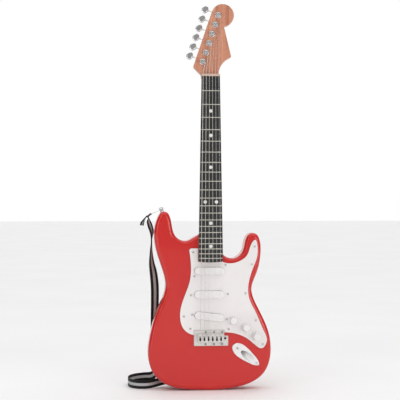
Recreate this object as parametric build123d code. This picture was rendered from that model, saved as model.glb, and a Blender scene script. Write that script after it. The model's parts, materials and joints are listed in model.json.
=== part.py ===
from build123d import *
import os
from math import cos, pi, radians, sin, tan

# Toy electric guitar, upright. Millimetres.
# +Z runs up the neck, -Y is the playing face, +X is the treble side.
# The origin is the lowest point of the body's edge, on the string centre line, half way through the body.

# ---------------------------------------------------------------- driving dimensions

# Body: two moulded half shells that meet at Y = 0.
HALF_DEPTH = 20.0
WALL = 2.4
EDGE_ROUND = 7.0
CAVITY_POINTS = 90
FRONT = -HALF_DEPTH
BACK = HALF_DEPTH
BASS_HORN = (-80.0, 301.5)
BASS_HORN_R = 9.5
TREBLE_HORN = (75.0, 262.0)
TREBLE_HORN_R = 11.5
BODY_SCREWS = [(-83, 285), (74, 254), (-67, 190), (63, 188), (-95, 70), (95, 66), (-45, 17), (45, 17)]
BOSS_R = 3.6
SLEEVE_R = 4.4
SCREW_R = 1.4
SCREW_HEAD_R = 2.8
SCREW_HEAD_DEPTH = 9.0
SCREW_HEAD = 2.0
SCREW_REACH = 13.0
SCREW_SHANK_R = SCREW_R - 0.1
SCREW_HOLE_R = SCREW_R + 0.15
SCREW_SINK_R = SCREW_HEAD_R + 0.4

# Screw heads: how far the dome and the driver's cross go, as shares of the head's height and radius.
FACE_DOME = 0.45
FACE_RECESS = 0.55
REAR_DOME = 0.35
REAR_RECESS = 0.5
CROSS_LENGTH = 1.2
CROSS_WIDTH = 0.28

# Pickguard plate and what is screwed to it.
GUARD = 2.0
GUARD_TOP = FRONT - GUARD
GUARD_CORNER = (-37.5, 247)
GUARD_CORNER_R = 4.0
GUARD_SCREWS = [
    (-30, 240.4), (26.5, 218.3), (-28.1, 199), (77.4, 250), (72.5, 219),
    (61.3, 169), (-46, 129.5), (-35.2, 108), (31.8, 107), (79.5, 122), (91.5, 80),
]
PICKUP_SCREWS = [(-34, 166), (30.5, 167.8), (-31.6, 132.4), (28.2, 124.4)]
TRIM_HEAD_R = 1.9
TRIM_HEAD = 0.7
TRIM_SHANK_R = 1.1
TRIM_HOLE_R = TRIM_SHANK_R + 0.05
TRIM_LENGTH = 7.0

# Pickup covers: name, centre height, tilt in degrees.
PICKUPS = [
    ("neck_pickup_cover", 208.0, 0.0), ("middle_pickup_cover", 167.0, 0.0), ("bridge_pickup_cover", 128.6, 6.8),
]
PICKUP_X = -2.0
COVER_LENGTH = 51.5
COVER_WIDTH = 13.0
COVER_RISE = 5.0
COVER_WALL = 1.3
COVER_GAP = 0.25
COVER_ROUND = 1.6
COIL_GAP = 0.5
POLE_R = 2.2
POLE_RISE = 0.3

# Controls: name of the control, and its place.
CONTROLS = [("volume", (39.7, 121.5)), ("neck_tone", (62.0, 109.5)), ("bridge_tone", (80.5, 93.6))]
KNOB_R = 7.5
KNOB_CAP_R = 5.9
KNOB_SKIRT = 3.2
KNOB_HEIGHT = 12.0
KNOB_GAP = 0.4
KNOB_FLUTES = 18
KNOB_EDGE = 0.9
KNOB_CROWN = 2.5
FLUTE_R = 0.55
FLUTE_OUT = 0.25
FLUTE_TOP = 1.2
KNOB_HOLLOW_R = 6.0
KNOB_HOLLOW = 2.4
SHAFT_R = 3.0
RUNNING_GAP = 0.06
PRESS_GAP = 0.02
SHAFT_END_GAP = 0.1
SHAFT_SINK = 4.0
POT_END_GAP = 0.5
BUSH_R = 3.7
BUSH_HOLE_R = BUSH_R + 0.2
BUSH_RISE = 2.0
POT_R = 8.0
POT_DEPTH = 8.0
TAG_PITCH = 3.5
TAG = (1.4, 8.0)
TAG_THICKNESS = 0.6
CONTROL_NUT_R = 5.2
CONTROL_NUT = 1.8

# Scale, fretboard and neck.
NUT_Z = 545.0
SCALE = 448.0
FRET_COUNT = 21
BOARD_TOP = -29.0
BOARD_BASE = -25.0
BOARD_END_Z = 223.0
BOARD_HALF_NUT = 15.9
BOARD_HALF_END = 21.3
BOARD_BOW = 1.5
BOARD_CORNER = 4.5
BOARD_EDGE = 0.5
FRET_HEIGHT = 0.8
FRET_HALF_WIDTH = 0.9
FRET_INSET = 0.6
DOT_R = 3.0
DOT_DEPTH = 1.0
DOT_SPACES = [3, 5, 8, 15, 19]
DOUBLE_DOT_SPACE = 12
DOUBLE_DOT_X = 9.8
NUT_HEIGHT = 5.2
NUT_LENGTH = 4.0
NUT_CROWN = 0.6
NUT_NOTCH_GAP = 0.1
NECK_DEPTH_NUT = 13.0
NECK_DEPTH_HEEL = 16.0
HEEL_HALF = 21.0
HEEL_FLOOR = -5.0
HEEL_TOP_Z = 266.0
HEEL_LAP = 8.0
NECK_INSET = 0.2
POCKET_TOP = 300.0
POCKET_GAP = 0.2
POCKET_WALL = 3.0
POCKET_FLOOR = 5.0
NECK_SCREW_X = (-17.0, 3.0)
NECK_SCREW_Z = (229.0, 246.0)
NECK_SCREW_R = 1.9
NECK_HOLE_R = NECK_SCREW_R + 0.1
NECK_SCREW_HEAD_R = 3.6
NECK_SCREW_HEAD = 2.2
NECK_SCREW_REACH = 18.0
NECK_BORE_TOP = BOARD_BASE + 5.0
PLATE = 1.6
PLATE_MARGIN = 6.0
PLATE_CORNER = 4.0
PLATE_EDGE = 0.4

# Headstock and machine heads.
HEAD_FRONT = -23.0
HEAD_BACK = -11.0
HEAD_EDGE = 1.2
HEAD_SHOULDER = (-30.0, 561.5)
HEAD_CORNER = (36.4, 579.0)
HEAD_TIP_ANGLE = -83.5
BALL = (21.4, 651.8)
BALL_R = 19.6
POSTS = [(-13.4, 570.4), (-7.8, 586.4), (-2.5, 602.8), (2.8, 619.0), (8.1, 635.3), (13.5, 651.6)]
TUNER_TILT = 18.0
POST_R = 3.0
POST_TOP = -33.0
POST_EDGE = 0.6
POST_SLOT = 1.2
POST_SLOT_DEPTH = 3.0
POST_STUB_R = 1.2
POST_STUB_GAP = 0.1
WAIST_HALF = 1.6
WAIST_DEPTH = 0.5
WORM_OFFSET = 5.0
WORM_Y = -7.6
WORM_ROOT_R = 1.1
WORM_TIP_R = 2.1
WORM_TURNS = 3
WORM_SHAFT_R = 1.0
THREAD_SINK = 0.15
THREAD_HALF = (0.44, 0.18)
TOOTH_HALF = (0.44, 0.2)
TOOTH_SINK = 0.3
CORE_GAP = 0.2
GEAR_TEETH = 12
GEAR_PITCH_R = 3.3
GEAR_ROOT_R = 2.75
GEAR_TIP_R = 3.75
GEAR_HALF_WIDTH = 1.0
THREAD_PITCH = 2 * pi * GEAR_PITCH_R / GEAR_TEETH
HOUSING_WALL = 1.0
HOUSING_HALF_X = 5.8
HOUSING_LOW_Z = -4.9
HOUSING_HIGH_Z = 8.4
HOUSING_BACK = -3.8
HOUSING_CORNER = 2.0
HOUSING_EDGE = 0.9
BUTTON_CENTRE = 24.3
BUTTON_SIZE = (11.5, 5.2, 14.4)
BUTTON_EDGE = 0.42 * BUTTON_SIZE[1]
BUTTON_COLLAR = (2.0, 3.0)
BUTTON_COLLAR_SETBACK = 6.6
BUSHING_FLANGE_R = 5.5
BUSHING_SLEEVE_R = 4.2
BUSHING_FLANGE = 1.2
BUSHING_EDGE = 0.5
EARS = [(0.0, -6.6), (7.5, 3.4)]
EAR_R = 1.9
EAR_SCREW_R = 0.8
EAR_SCREW_LENGTH = 6.0
EAR_SCREW_HEAD_R = 1.5
EAR_SCREW_HEAD = 0.8
EAR = 1.0
EAR_LAP = 0.5
EAR_HOLE_GAP = 0.1

# Strings, bass to treble.
STRING_R = [0.5, 0.42, 0.34, 0.25, 0.2, 0.16]
STRING_HALF_NUT = 13.4
STRING_HALF_SADDLE = 18.15
STRING_BEND_R = 2.0
STRING_BREAK = 0.6
WRAP_Y = -27.0
WRAP_EXTRA = 0.1
WRAP_GAP = 0.15
STRING_BALL_R = 1.3
STRING_BALL_SINK = 0.2
STRING_LIFT = 0.06

# Bridge.
BRIDGE_LEFT = -28.8
BRIDGE_RIGHT = 24.2
BRIDGE_EAR_RIGHT = 31.1
BRIDGE_LOW = 77.9
BRIDGE_HIGH = 105.4
BRIDGE_EAR_HIGH = 95.6
BRIDGE_BASE = 3.0
BRIDGE_GAP = 0.3
BRIDGE_CORNER = 1.6
BRIDGE_EDGE = 0.7
BLOCK_CORNER = 1.5
BLOCK_EDGE = 1.0
BLOCK_HALF = 22.6
BLOCK_LOW = 84.4
BLOCK_HIGH = 99.2
BLOCK_RISE = 4.0
SADDLE_Z = 97.2
SADDLE_LENGTH = 2.6
SADDLE_GAP = 0.8
SADDLE_CORNER = 0.4
SADDLE_EDGE = 0.35
SADDLE_TOP = -32.2
SLOT_LOW = (88.5, 1.65)
SLOT_HIGH = (94.5, 0.8)
ARM_HOLE = (25.6, 91.0)
ARM_HOLE_R = 2.0
ARM_COLLAR_R = 3.4
ARM_GAP = 0.4
ARM_SINK = 0.4
BRIDGE_SCREW_X = [-8.5, 5.9, 20.0]
BRIDGE_SCREW_Z = [101.9, 81.2]

# Jack plate, a boat-shaped cup on the treble side.
JACK = (62.5, 61.3)
JACK_TURN = 38.0
JACK_HALF_LENGTH = 28.5
JACK_HALF_WIDTH = 11.0
JACK_RISE = 2.0
CUP_LENGTH = 34.0
CUP_WIDTH = 15.0
CUP_DEPTH = 12.0
CUP_WALL = 1.6
CUP_GAP = 0.3
CUP_SLOPE = 24.0
SOCKET_R = 5.0
SOCKET_BORE_R = 3.2
SOCKET_BARREL_R = SOCKET_R - 0.8
SOCKET_NUT = 1.4
SOCKET_NUT_R = 5.2
SOCKET_SETBACK = 7.0
SOCKET_DEPTH = 4.2
CHANNEL_LENGTH = 60.0
JACK_EDGE = 0.6
SOCKET_LENGTH = 17.0
JACK_SCREWS = (-19.5, 23.0)
JACK_SCREW_LENGTH = 5.0

# Back of the body: battery bay, speaker, board.
BAY_HALF = 30.0
BAY_LOW = 55.6
BAY_HIGH = 111.4
BAY_FLOOR = 2.0
BAY_WALL = 1.6
DOOR = 2.0
DOOR_PIVOT = (BACK - 1.6, 57.6)
DOOR_BARREL_R = 1.6
DOOR_PIN_R = 1.0
DOOR_GAP = 0.4
DOOR_SCREW = (0.0, 107.4)
DOOR_SCREW_HOLE_R = 1.3
DOOR_HOLE_FRONT = 8.0
DOOR_SEAT_GAP = 0.1
DOOR_BOSS_R = 3.0
LEDGE_WIDTH = 2.4
LEDGE_FRONT = DOOR_PIVOT[0] - 4.0
DOOR_SCREW_SIZE = (2.6, 1.4, 0.95, 6.0)
DOOR_EYE_R = 1.5
PIN_END_GAP = 0.2
GRIP_COUNT = 5
GRIP_LENGTH = 18.0
GRIP_TAPER = 2.5
GRIP_PITCH = 1.8
GRIP_DROP = 12.0
GRIP_WIDTH = 0.8
GRIP_DEPTH = 0.5
CELL_R = 7.1
CELL_LENGTH = 49.0
CELL_Z = [67.2, 82.0, 96.8]
CELL_Y = 9.6
CELL_TIP = (2.6, 1.0)
CONTACT = (0.5, 11.0, 11.0)
SPRING_R = (3.4, 2.8)
SPRING_LENGTH = 2.4
SPRING_PLACE = CELL_LENGTH / 2 + 4.2
SPEAKER = (0.0, 160.0)
SPEAKER_FACE = 17.4
# Half sections of the speaker: radius, then distance along Y from its face.
BASKET_PROFILE = [
    (0, -14), (12, -14), (12, -9), (17, -9), (23.4, -4.6), (23.4, -1.2), (25, -1.2), (25, 0),
    (22.6, 0), (22.6, -4.4), (16.8, -8.2), (0, -8.2),
]
CONE_PROFILE = [
    (0, -5.4), (5, -6.2), (12.4, -6.4), (19.6, -3.2), (21.8, -2.9), (21.8, -2.3),
    (19.4, -2.5), (12.2, -5.6), (5, -5.4), (0, -4.6),
]
GRILLE_R = 19.0
GRILLE_PITCH = 4.4
GRILLE_SLOT = 2.0
BOARD_BOX = (-78.0, -40.0, 92.0, 142.0)
BOARD_Y = 8.0
BOARD = 1.6
BOARD_POST_R = 2.6
BOARD_PILOT_R = 0.9
BOARD_HOLE_R = 1.0
# Parts on the board: place from its centre, then size or radius, then height.
CHIP = (9.0, 14.0, 2.5)
CAPACITOR_PLACES = [(8.0, -15.0), (8.0, 15.0)]
CAPACITOR = (3.2, 8.0)
PLUG_PLACE = (-8.0, -16.0)
PLUG = (5.0, 12.0, 6.0)
LEAD_R = 0.9
LEAD_BEND_R = 3.0
LEAD_HOLE_R = 2.0

# Strap: woven webbing, two plastic rings, two clear links and two pins.
STRAP_WIDTH = 15.0
STRAP = 1.5
LOWER_PIN = (0.0, 22.0)
LOWER_BOSS_FRONT = 6.0
PIN_NECK_R = 2.4
PIN_HEAD_R = 4.4
PIN_LENGTH = 7.0
BASS_PIN_ANGLE = 110.0
BASS_PIN_Y = -7.0
PIN_SEAT = 0.05
PIN_FOOT_R = 3.6
PIN_FOOT = 1.0
PIN_FLARE = 2.6
PIN_HEAD = 3.0
PIN_RIM = (1.6, 0.6)
PIN_EYE_R = 1.3
PIN_BOSS_R = 2.8
PIN_BOSS_DEPTH = 8.0
PIN_BORE_R = 1.2
PIN_BORE_LENGTH = 30.0
PIN_BORE_MIDDLE = -12.0
PIN_SCREW_R = 1.15
PIN_SCREW_HEAD_R = 2.6
PIN_SCREW_HEAD = 1.2
PIN_SCREW_SLOT = (3.2, 0.6, 0.9)
PIN_WAIST = 3.3
RING_WIRE_R = 1.3
RING_SPACE = (STRAP_WIDTH + 7.0, 8.0)
TAB = 1.0
TAB_GAP = 0.2
TAB_WIDTH = 9.0
TAB_END_R = 5.5
TAB_BARREL_R = 2.3
UPPER_TAB_REACH = 20.0
LOWER_TAB_REACH = 16.0
UPPER_RING_DROP = 20.0
# Route of the webbing: point on its centre line, then the direction of its width there.
STRAP_ROUTE = [
    ((-110.8, -4.0, 299.4), (0.0, 1.0, 0.0)),
    ((-106.6, -3.5, 289.0), (0.05, 1.0, 0.0)),
    ((-102.8, -2.5, 276.0), (0.1, 1.0, 0.0)),
    ((-101.2, 0.0, 261.0), (0.1, 1.0, 0.0)),
    ((-101.8, 6.0, 240.0), (0.3, 1.0, 0.0)),
    ((-100.6, 13.0, 220.0), (0.6, 0.8, 0.0)),
    ((-97.0, 20.0, 201.0), (0.85, 0.5, 0.0)),
    ((-94.6, 26.0, 180.0), (0.95, 0.3, 0.0)),
    ((-94.0, 31.0, 157.0), (0.95, 0.3, 0.0)),
    ((-94.4, 36.0, 131.0), (0.9, 0.4, 0.1)),
    ((-95.6, 43.0, 100.0), (0.7, 0.6, 0.3)),
    ((-95.0, 52.0, 70.0), (0.45, 0.8, 0.6)),
    ((-91.0, 64.0, 42.0), (0.2, 0.6, 1.1)),
    ((-90.0, 77.0, 20.0), (0.1, 0.25, 1.3)),
    ((-97.0, 85.0, 9.5), (0.0, 0.05, 1.0)),
    ((-112.0, 86.0, 8.0), (0.0, 0.0, 1.0)),
    ((-128.0, 77.0, 7.8), (0.0, 0.0, 1.0)),
    ((-138.5, 60.0, 7.8), (0.0, 0.0, 1.0)),
    ((-141.0, 40.0, 7.8), (0.0, 0.0, 1.0)),
    ((-137.0, 20.0, 7.8), (0.0, 0.0, 1.0)),
    ((-125.0, 7.0, 7.8), (0.0, 0.0, 1.0)),
    ((-109.0, 5.5, 7.8), (0.0, 0.0, 1.0)),
    ((-95.0, 14.0, 8.6), (0.0, 0.0, 1.0)),
    ((-80.0, 24.5, 10.5), (0.0, 0.0, 1.0)),
    ((-62.0, 29.5, 13.5), (0.0, 0.0, 1.0)),
    ((-44.0, 29.8, 17.0), (-0.1, 0.0, 1.0)),
    ((-28.4, 27.4, 20.4), (-0.1, 0.0, 1.0)),
]


# ---------------------------------------------------------------- shared helpers

def slab(sketch, y_front, y_back):
    """Prism of a sketch drawn in X and Z, between two Y planes."""
    return extrude(Plane.XZ.offset(-y_back) * sketch, y_back - y_front)


def rod(place, radius, y_front, y_back):
    """Round bar along Y at (x, z)."""
    return slab(Pos(*place) * Circle(radius), y_front, y_back)


def upright(radius, length):
    """Round bar that stands on the X-Y plane."""
    return Cylinder(radius, length, align=(Align.CENTER, Align.CENTER, Align.MIN))


def on_circle(centre, radius, angle):
    """Point in the X-Z plane on a circle, at an angle from +X."""
    return (centre[0] + radius * cos(radians(angle)), centre[1] + radius * sin(radians(angle)))


def cross_recess(place, radius, y_front, depth, direction=1):
    """Two crossed grooves for a screwdriver, cut into a head whose outside is at y_front."""
    length, width = radius * CROSS_LENGTH, radius * CROSS_WIDTH
    groove = Rectangle(length, width) + Rectangle(width, length)
    low, high = sorted((y_front, y_front + direction * depth))
    return slab(Pos(*place) * groove, low, high)


def face_screw(place, head_top, head_r, head, shank_r, length):
    """Screw driven in from the playing face, with a domed head."""
    dome = rod(place, head_r, head_top, head_top + head)
    dome = chamfer(dome.faces().sort_by(Axis.Y)[0].edges(), head * FACE_DOME)
    shank = rod(place, shank_r, head_top + head, head_top + head + length)
    return dome + shank - cross_recess(place, head_r, head_top, head * FACE_RECESS)


def rear_screw(place, head_back, head_r, head, shank_r, length):
    """Screw driven in from the back, with a domed head."""
    dome = rod(place, head_r, head_back - head, head_back)
    dome = chamfer(dome.faces().sort_by(Axis.Y)[-1].edges(), head * REAR_DOME)
    shank = rod(place, shank_r, head_back - head - length, head_back - head)
    return dome + shank - cross_recess(place, head_r, head_back, head * REAR_RECESS, -1)


def flat_screws(places, seat, length):
    """Small domed screws with their heads standing on a plane."""
    screws = []
    for place in places:
        screws.append(face_screw(place, seat - TRIM_HEAD, TRIM_HEAD_R, TRIM_HEAD, TRIM_SHANK_R, length))
    return group(screws)


def closed(*curves):
    """Face inside curves that join end to end."""
    return make_face(Wire([edge for curve in curves for edge in curve.edges()]))


def group(shapes):
    """Separate solids of one node."""
    solids = []
    for shape in shapes:
        solids.extend(shape.solids())
    return Compound(children=solids)


# ---------------------------------------------------------------- body

def body_outline():
    """Closed outline of the double-cutaway body."""
    bass_horn = [on_circle(BASS_HORN, BASS_HORN_R, a) for a in (160, 125, 90, 55, 15)]
    treble_horn = [on_circle(TREBLE_HORN, TREBLE_HORN_R, a) for a in (158, 124, 90, 50, 10)]
    lower_left = [(-6, 0.2), (-32, 1.3), (-62, 5.2), (-94, 24), (-107.5, 56), (-104.5, 95), (-92, 138)]
    waist_left = [(-77.5, 180), (-84.5, 215), (-95, 250), (-96.5, 280)]
    neck_join = [
        (-66.5, 286), (-60, 268), (-44, 259.8), (-24, 268.5), (-4, 272), (12, 256), (24, 235), (42, 229.5),
        (57, 241),
    ]
    waist_right = [(88.8, 235), (82, 204), (73, 176), (82, 147)]
    lower_right = [(102, 103), (107, 67), (95, 29), (50, 5), (22, 1.2)]
    points = lower_left + waist_left + bass_horn + neck_join + treble_horn + waist_right + lower_right
    outline = make_face(Spline(*points, periodic=True))
    return Pos(0, -outline.bounding_box().min.Y) * outline


def half_block(y_front, y_back, outer_side):
    """Solid half of the body with its outer edge rounded."""
    block = slab(body_outline(), y_front, y_back)
    return fillet(block.faces().sort_by(Axis.Y)[outer_side].edges(), EDGE_ROUND)


def cavity_block(y_front, y_back, outer_side):
    """Space inside a half of the body: the outline set in by the wall, with its own rounded edge."""
    edge = body_outline().wire()
    points = []
    for index in range(CAVITY_POINTS):
        share = index / CAVITY_POINTS
        along = (edge % share).normalized()
        points.append((edge @ share) + Vector(along.Y, -along.X) * WALL)
    plan = make_face(Spline(*points, periodic=True))
    block = slab(plan, y_front, y_back)
    return fillet(block.faces().sort_by(Axis.Y)[outer_side].edges(), EDGE_ROUND - WALL)


def pocket_block(gap):
    """Space of the neck heel, grown by a gap on its sides and lower end."""
    width = 2 * (HEEL_HALF + gap)
    low = BOARD_END_Z + 1 - gap
    return Pos(0, (low + POCKET_TOP) / 2) * Rectangle(width, POCKET_TOP - low)


def jack_turn(shape):
    """Puts a sketch drawn along X on the jack plate's centre and slope."""
    return Pos(*JACK) * Rot(0, 0, -JACK_TURN) * shape


def front_shell():
    """Front half shell: pocket for the neck, screw bosses, holes for controls, jack and pickup leads."""
    block = half_block(FRONT, 0, 0)
    shell = block - cavity_block(FRONT + WALL, 1, 0)
    collar = slab(pocket_block(POCKET_GAP + POCKET_WALL), FRONT, HEEL_FLOOR + POCKET_FLOOR) & block
    stem = bass_pin_frame() * Pos(0, 0, -PIN_BOSS_DEPTH) * upright(PIN_BOSS_R, PIN_BOSS_DEPTH)
    bosses = [rod(place, BOSS_R, FRONT + WALL / 2, 0) for place in BODY_SCREWS]
    shell = shell + [collar, stem & block] + bosses
    skin = (FRONT - 1, FRONT + WALL + 1)
    small_holes = trim_screw_places() + bridge_screw_places() + [jack_point(along) for along in JACK_SCREWS]
    cuts = [rod(place, TRIM_HOLE_R, *skin) for place in small_holes]
    cuts += [rod(place, BUSH_HOLE_R, *skin) for _, place in CONTROLS]
    cuts += [rod((PICKUP_X, height), LEAD_HOLE_R, *skin) for _, height, _ in PICKUPS]
    cuts += [rod(place, SCREW_SHANK_R, FRONT + WALL + 2, 1) for place in BODY_SCREWS]
    cuts += [rod(place, NECK_HOLE_R, FRONT, 1) for place in neck_screw_places()]
    cuts.append(slab(jack_turn(SlotOverall(CUP_LENGTH + 2 * CUP_GAP, CUP_WIDTH + 2 * CUP_GAP)), *skin))
    cuts.append(rod(ARM_HOLE, ARM_HOLE_R + ARM_GAP, *skin))
    cuts.append(arm_countersink())
    cuts.append(slab(pocket_block(POCKET_GAP), FRONT - 1, HEEL_FLOOR))
    cuts.append(bass_pin_frame() * Pos(0, 0, PIN_BORE_MIDDLE) * Cylinder(PIN_BORE_R, PIN_BORE_LENGTH))
    return shell - cuts


def arm_countersink():
    """Cone at the mouth of the arm's hole in the front shell."""
    mouth = Plane(origin=(ARM_HOLE[0], FRONT, ARM_HOLE[1]), z_dir=(0, 1, 0))
    hole_r = ARM_HOLE_R + ARM_GAP
    return mouth * Cone(hole_r + ARM_SINK, hole_r, ARM_SINK, align=(Align.CENTER, Align.CENTER, Align.MIN))


def back_shell():
    """Back half shell: screw sleeves, battery bay, speaker grille, board posts and the lower pin's boss."""
    block = half_block(0, BACK, -1)
    shell = block - cavity_block(-1, BACK - WALL, -1)
    inner_back = BACK - WALL / 2
    door_seat = BACK - DOOR - DOOR_SEAT_GAP
    ledge = Pos(0, BAY_HIGH - LEDGE_WIDTH / 2) * Rectangle(2 * BAY_HALF, LEDGE_WIDTH)
    adds = [rod(place, SLEEVE_R, 0, inner_back) for place in BODY_SCREWS]
    adds += [rod(place, SLEEVE_R, HEEL_FLOOR + POCKET_FLOOR, inner_back) for place in neck_screw_places()]
    adds += [rod(place, BOARD_POST_R, BOARD_Y + BOARD, inner_back) for place in board_posts()]
    adds.append(rod(LOWER_PIN, SLEEVE_R, LOWER_BOSS_FRONT, inner_back))
    adds.append(bay_box(BAY_WALL, BAY_FLOOR - BAY_WALL, inner_back))
    shell = shell + adds
    shell = shell - bay_box(0, BAY_FLOOR, BACK + 1)
    door_boss = rod(DOOR_SCREW, DOOR_BOSS_R, BAY_FLOOR - BAY_WALL / 2, door_seat)
    shell = shell + [slab(ledge, LEDGE_FRONT, door_seat), door_boss]
    hinge_bore = Cylinder(DOOR_PIN_R + RUNNING_GAP, 2 * (BAY_HALF + BAY_WALL) + 1)
    cuts = [rod(place, SCREW_HOLE_R, -1, BACK + 1) for place in BODY_SCREWS]
    cuts += [rod(place, SCREW_SINK_R, BACK - SCREW_HEAD_DEPTH, BACK + 1) for place in BODY_SCREWS]
    cuts += [rod(place, NECK_HOLE_R, HEEL_FLOOR, BACK + 1) for place in neck_screw_places()]
    cuts += [rod(place, BOARD_PILOT_R, BOARD_Y, BACK - WALL - 1) for place in board_posts()]
    cuts.append(rod(LOWER_PIN, PIN_BORE_R, 0, BACK + 1))
    cuts.append(rod(DOOR_SCREW, DOOR_SCREW_HOLE_R, DOOR_HOLE_FRONT, BACK))
    cuts.append(Pos(0, *DOOR_PIVOT) * Rot(0, 90, 0) * hinge_bore)
    cuts += [slab(slot, BACK - WALL - 1, BACK + 1) for slot in grille_slots()]
    return shell - cuts


def bay_box(wall, y_front, y_back):
    """Battery bay: the block of its outside for a wall, or of its space for none."""
    height = BAY_HIGH - BAY_LOW + 2 * wall
    plan = Pos(0, (BAY_LOW + BAY_HIGH) / 2) * Rectangle(2 * (BAY_HALF + wall), height)
    return slab(plan, y_front, y_back)


def grille_slots():
    """Rows of slots whose ends lie on a circle."""
    rows = int(GRILLE_R / GRILLE_PITCH)
    slots = []
    for row in range(-rows, rows + 1):
        rise = row * GRILLE_PITCH
        length = 2 * (GRILLE_R ** 2 - rise ** 2) ** 0.5
        slots.append(Pos(SPEAKER[0], SPEAKER[1] + rise) * SlotOverall(length, GRILLE_SLOT))
    return slots


def neck_screw_places():
    """Centres of the four neck screws."""
    return [(x, z) for x in NECK_SCREW_X for z in NECK_SCREW_Z]


def body_screws():
    """Screws from the back that close the two shells."""
    seat = BACK - SCREW_HEAD_DEPTH
    screws = []
    for place in BODY_SCREWS:
        screw = rear_screw(place, seat + SCREW_HEAD, SCREW_HEAD_R, SCREW_HEAD, SCREW_SHANK_R, seat + SCREW_REACH)
        screws.append(screw)
    return group(screws)


# ---------------------------------------------------------------- pickguard and pickups

def guard_outline():
    """Pickguard outline: bass edge, notch at the bridge, treble edge, notch at the neck."""
    slot = HEEL_HALF + 2 * POCKET_GAP
    low = BOARD_END_Z + 1 - 2 * POCKET_GAP
    notch_left = BRIDGE_LEFT - BRIDGE_GAP
    notch_right = BRIDGE_RIGHT + BRIDGE_GAP
    notch_top = BRIDGE_HIGH + BRIDGE_GAP
    side = [(-34, 220), (-36, 190), (-45.5, 163), (-52.6, 135), (-49, 112), (notch_left, 97)]
    bass = Spline(GUARD_CORNER, *side)
    notch = Polyline((notch_left, 97), (notch_left, notch_top), (notch_right, notch_top), (notch_right, 101))
    lower = [(notch_right, 101), (45, 98.6), (62, 91.5), (78, 79), (90, 72.8), (98.2, 83)]
    treble = [(93, 104), (80, 134), (67, 163), (67, 187), (76, 216), (82.6, 243)]
    horn = [(77.5, 261.5), (72, 255), (64.5, 235.5), (45, 222.5), (slot, low)]
    edge = Spline(*(lower + treble + horn))
    top = Polyline((slot, low), (-slot, low), (-slot, GUARD_CORNER[1]), GUARD_CORNER)
    plate = closed(bass, notch, edge, top)
    corner = plate.vertices().sort_by_distance((*GUARD_CORNER, 0))[0]
    return fillet(corner, GUARD_CORNER_R)


def cover_plan(height, tilt, grow=0.0):
    """Stadium plan of a pickup cover."""
    shape = SlotOverall(COVER_LENGTH + 2 * grow, COVER_WIDTH + 2 * grow)
    return Pos(PICKUP_X, height) * Rot(0, 0, -tilt) * shape


def trim_screw_places():
    """Every screw hole of the pickguard, with those beside the pickups."""
    return GUARD_SCREWS + PICKUP_SCREWS


def pickguard():
    """Flat plate with openings for the pickups and the controls."""
    plate = slab(guard_outline(), GUARD_TOP, FRONT)
    for _, height, tilt in PICKUPS:
        plate = plate - slab(cover_plan(height, tilt, COVER_GAP), GUARD_TOP - 1, FRONT + 1)
    for _, place in CONTROLS:
        plate = plate - rod(place, BUSH_HOLE_R, GUARD_TOP - 1, FRONT + 1)
    for place in trim_screw_places():
        plate = plate - rod(place, TRIM_HOLE_R, GUARD_TOP - 1, FRONT + 1)
    return plate


def trim_screws(places):
    """Small domed screws on the pickguard."""
    return flat_screws(places, GUARD_TOP, TRIM_LENGTH)


def pickup_cover(height, tilt):
    """Hollow cover with a rounded top edge and a low dome under each string, open at its back."""
    top = GUARD_TOP - COVER_RISE
    cover = slab(cover_plan(height, tilt), top, FRONT)
    cover = fillet(cover.faces().sort_by(Axis.Y)[0].edges(), COVER_ROUND)
    cover = cover - slab(cover_plan(height, tilt, -COVER_WALL), top + COVER_WALL, FRONT + 1)
    spread = string_spread(height)
    for index in range(len(STRING_R)):
        x = string_x(index, spread)
        drop = (x - PICKUP_X) * tan(radians(tilt))
        dome = rod((x, height - drop), POLE_R, top - POLE_RISE, top + COVER_WALL / 2)
        cover = cover + chamfer(dome.faces().sort_by(Axis.Y)[0].edges(), POLE_RISE * 0.8)
    return cover


def pickup_coils():
    """A wound bobbin in each cover."""
    top = GUARD_TOP - COVER_RISE + COVER_WALL + COIL_GAP
    coils = []
    for _, height, tilt in PICKUPS:
        coils.append(slab(cover_plan(height, tilt, -COVER_WALL - COIL_GAP), top, FRONT))
    return group(coils)


# ---------------------------------------------------------------- controls

def knob(place):
    """Skirted knob: fluted cap on a wider skirt, hollow round the fixing nut."""
    base = GUARD_TOP - KNOB_GAP
    top = base - KNOB_HEIGHT
    skirt = rod(place, KNOB_R, base - KNOB_SKIRT, base)
    skirt = chamfer(skirt.faces().sort_by(Axis.Y)[0].edges(), KNOB_EDGE)
    cap = rod(place, KNOB_CAP_R, top, base)
    cap = fillet(cap.faces().sort_by(Axis.Y)[0].edges(), KNOB_EDGE)
    body = skirt + cap
    for index in range(KNOB_FLUTES):
        flute = on_circle(place, KNOB_CAP_R + FLUTE_OUT, index * 360 / KNOB_FLUTES)
        body = body - rod(flute, FLUTE_R, top + FLUTE_TOP, base - KNOB_SKIRT)
    body = body - rod(place, KNOB_HOLLOW_R, base - KNOB_HOLLOW, base + 1)
    return body - rod(place, SHAFT_R + PRESS_GAP, top + KNOB_CROWN, base)


def control_shaft(place):
    """Shaft of a control, from the wiper inside the can to the knob."""
    top = GUARD_TOP - KNOB_GAP - KNOB_HEIGHT + KNOB_CROWN + SHAFT_END_GAP
    return rod(place, SHAFT_R, top, FRONT + WALL + SHAFT_SINK)


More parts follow.
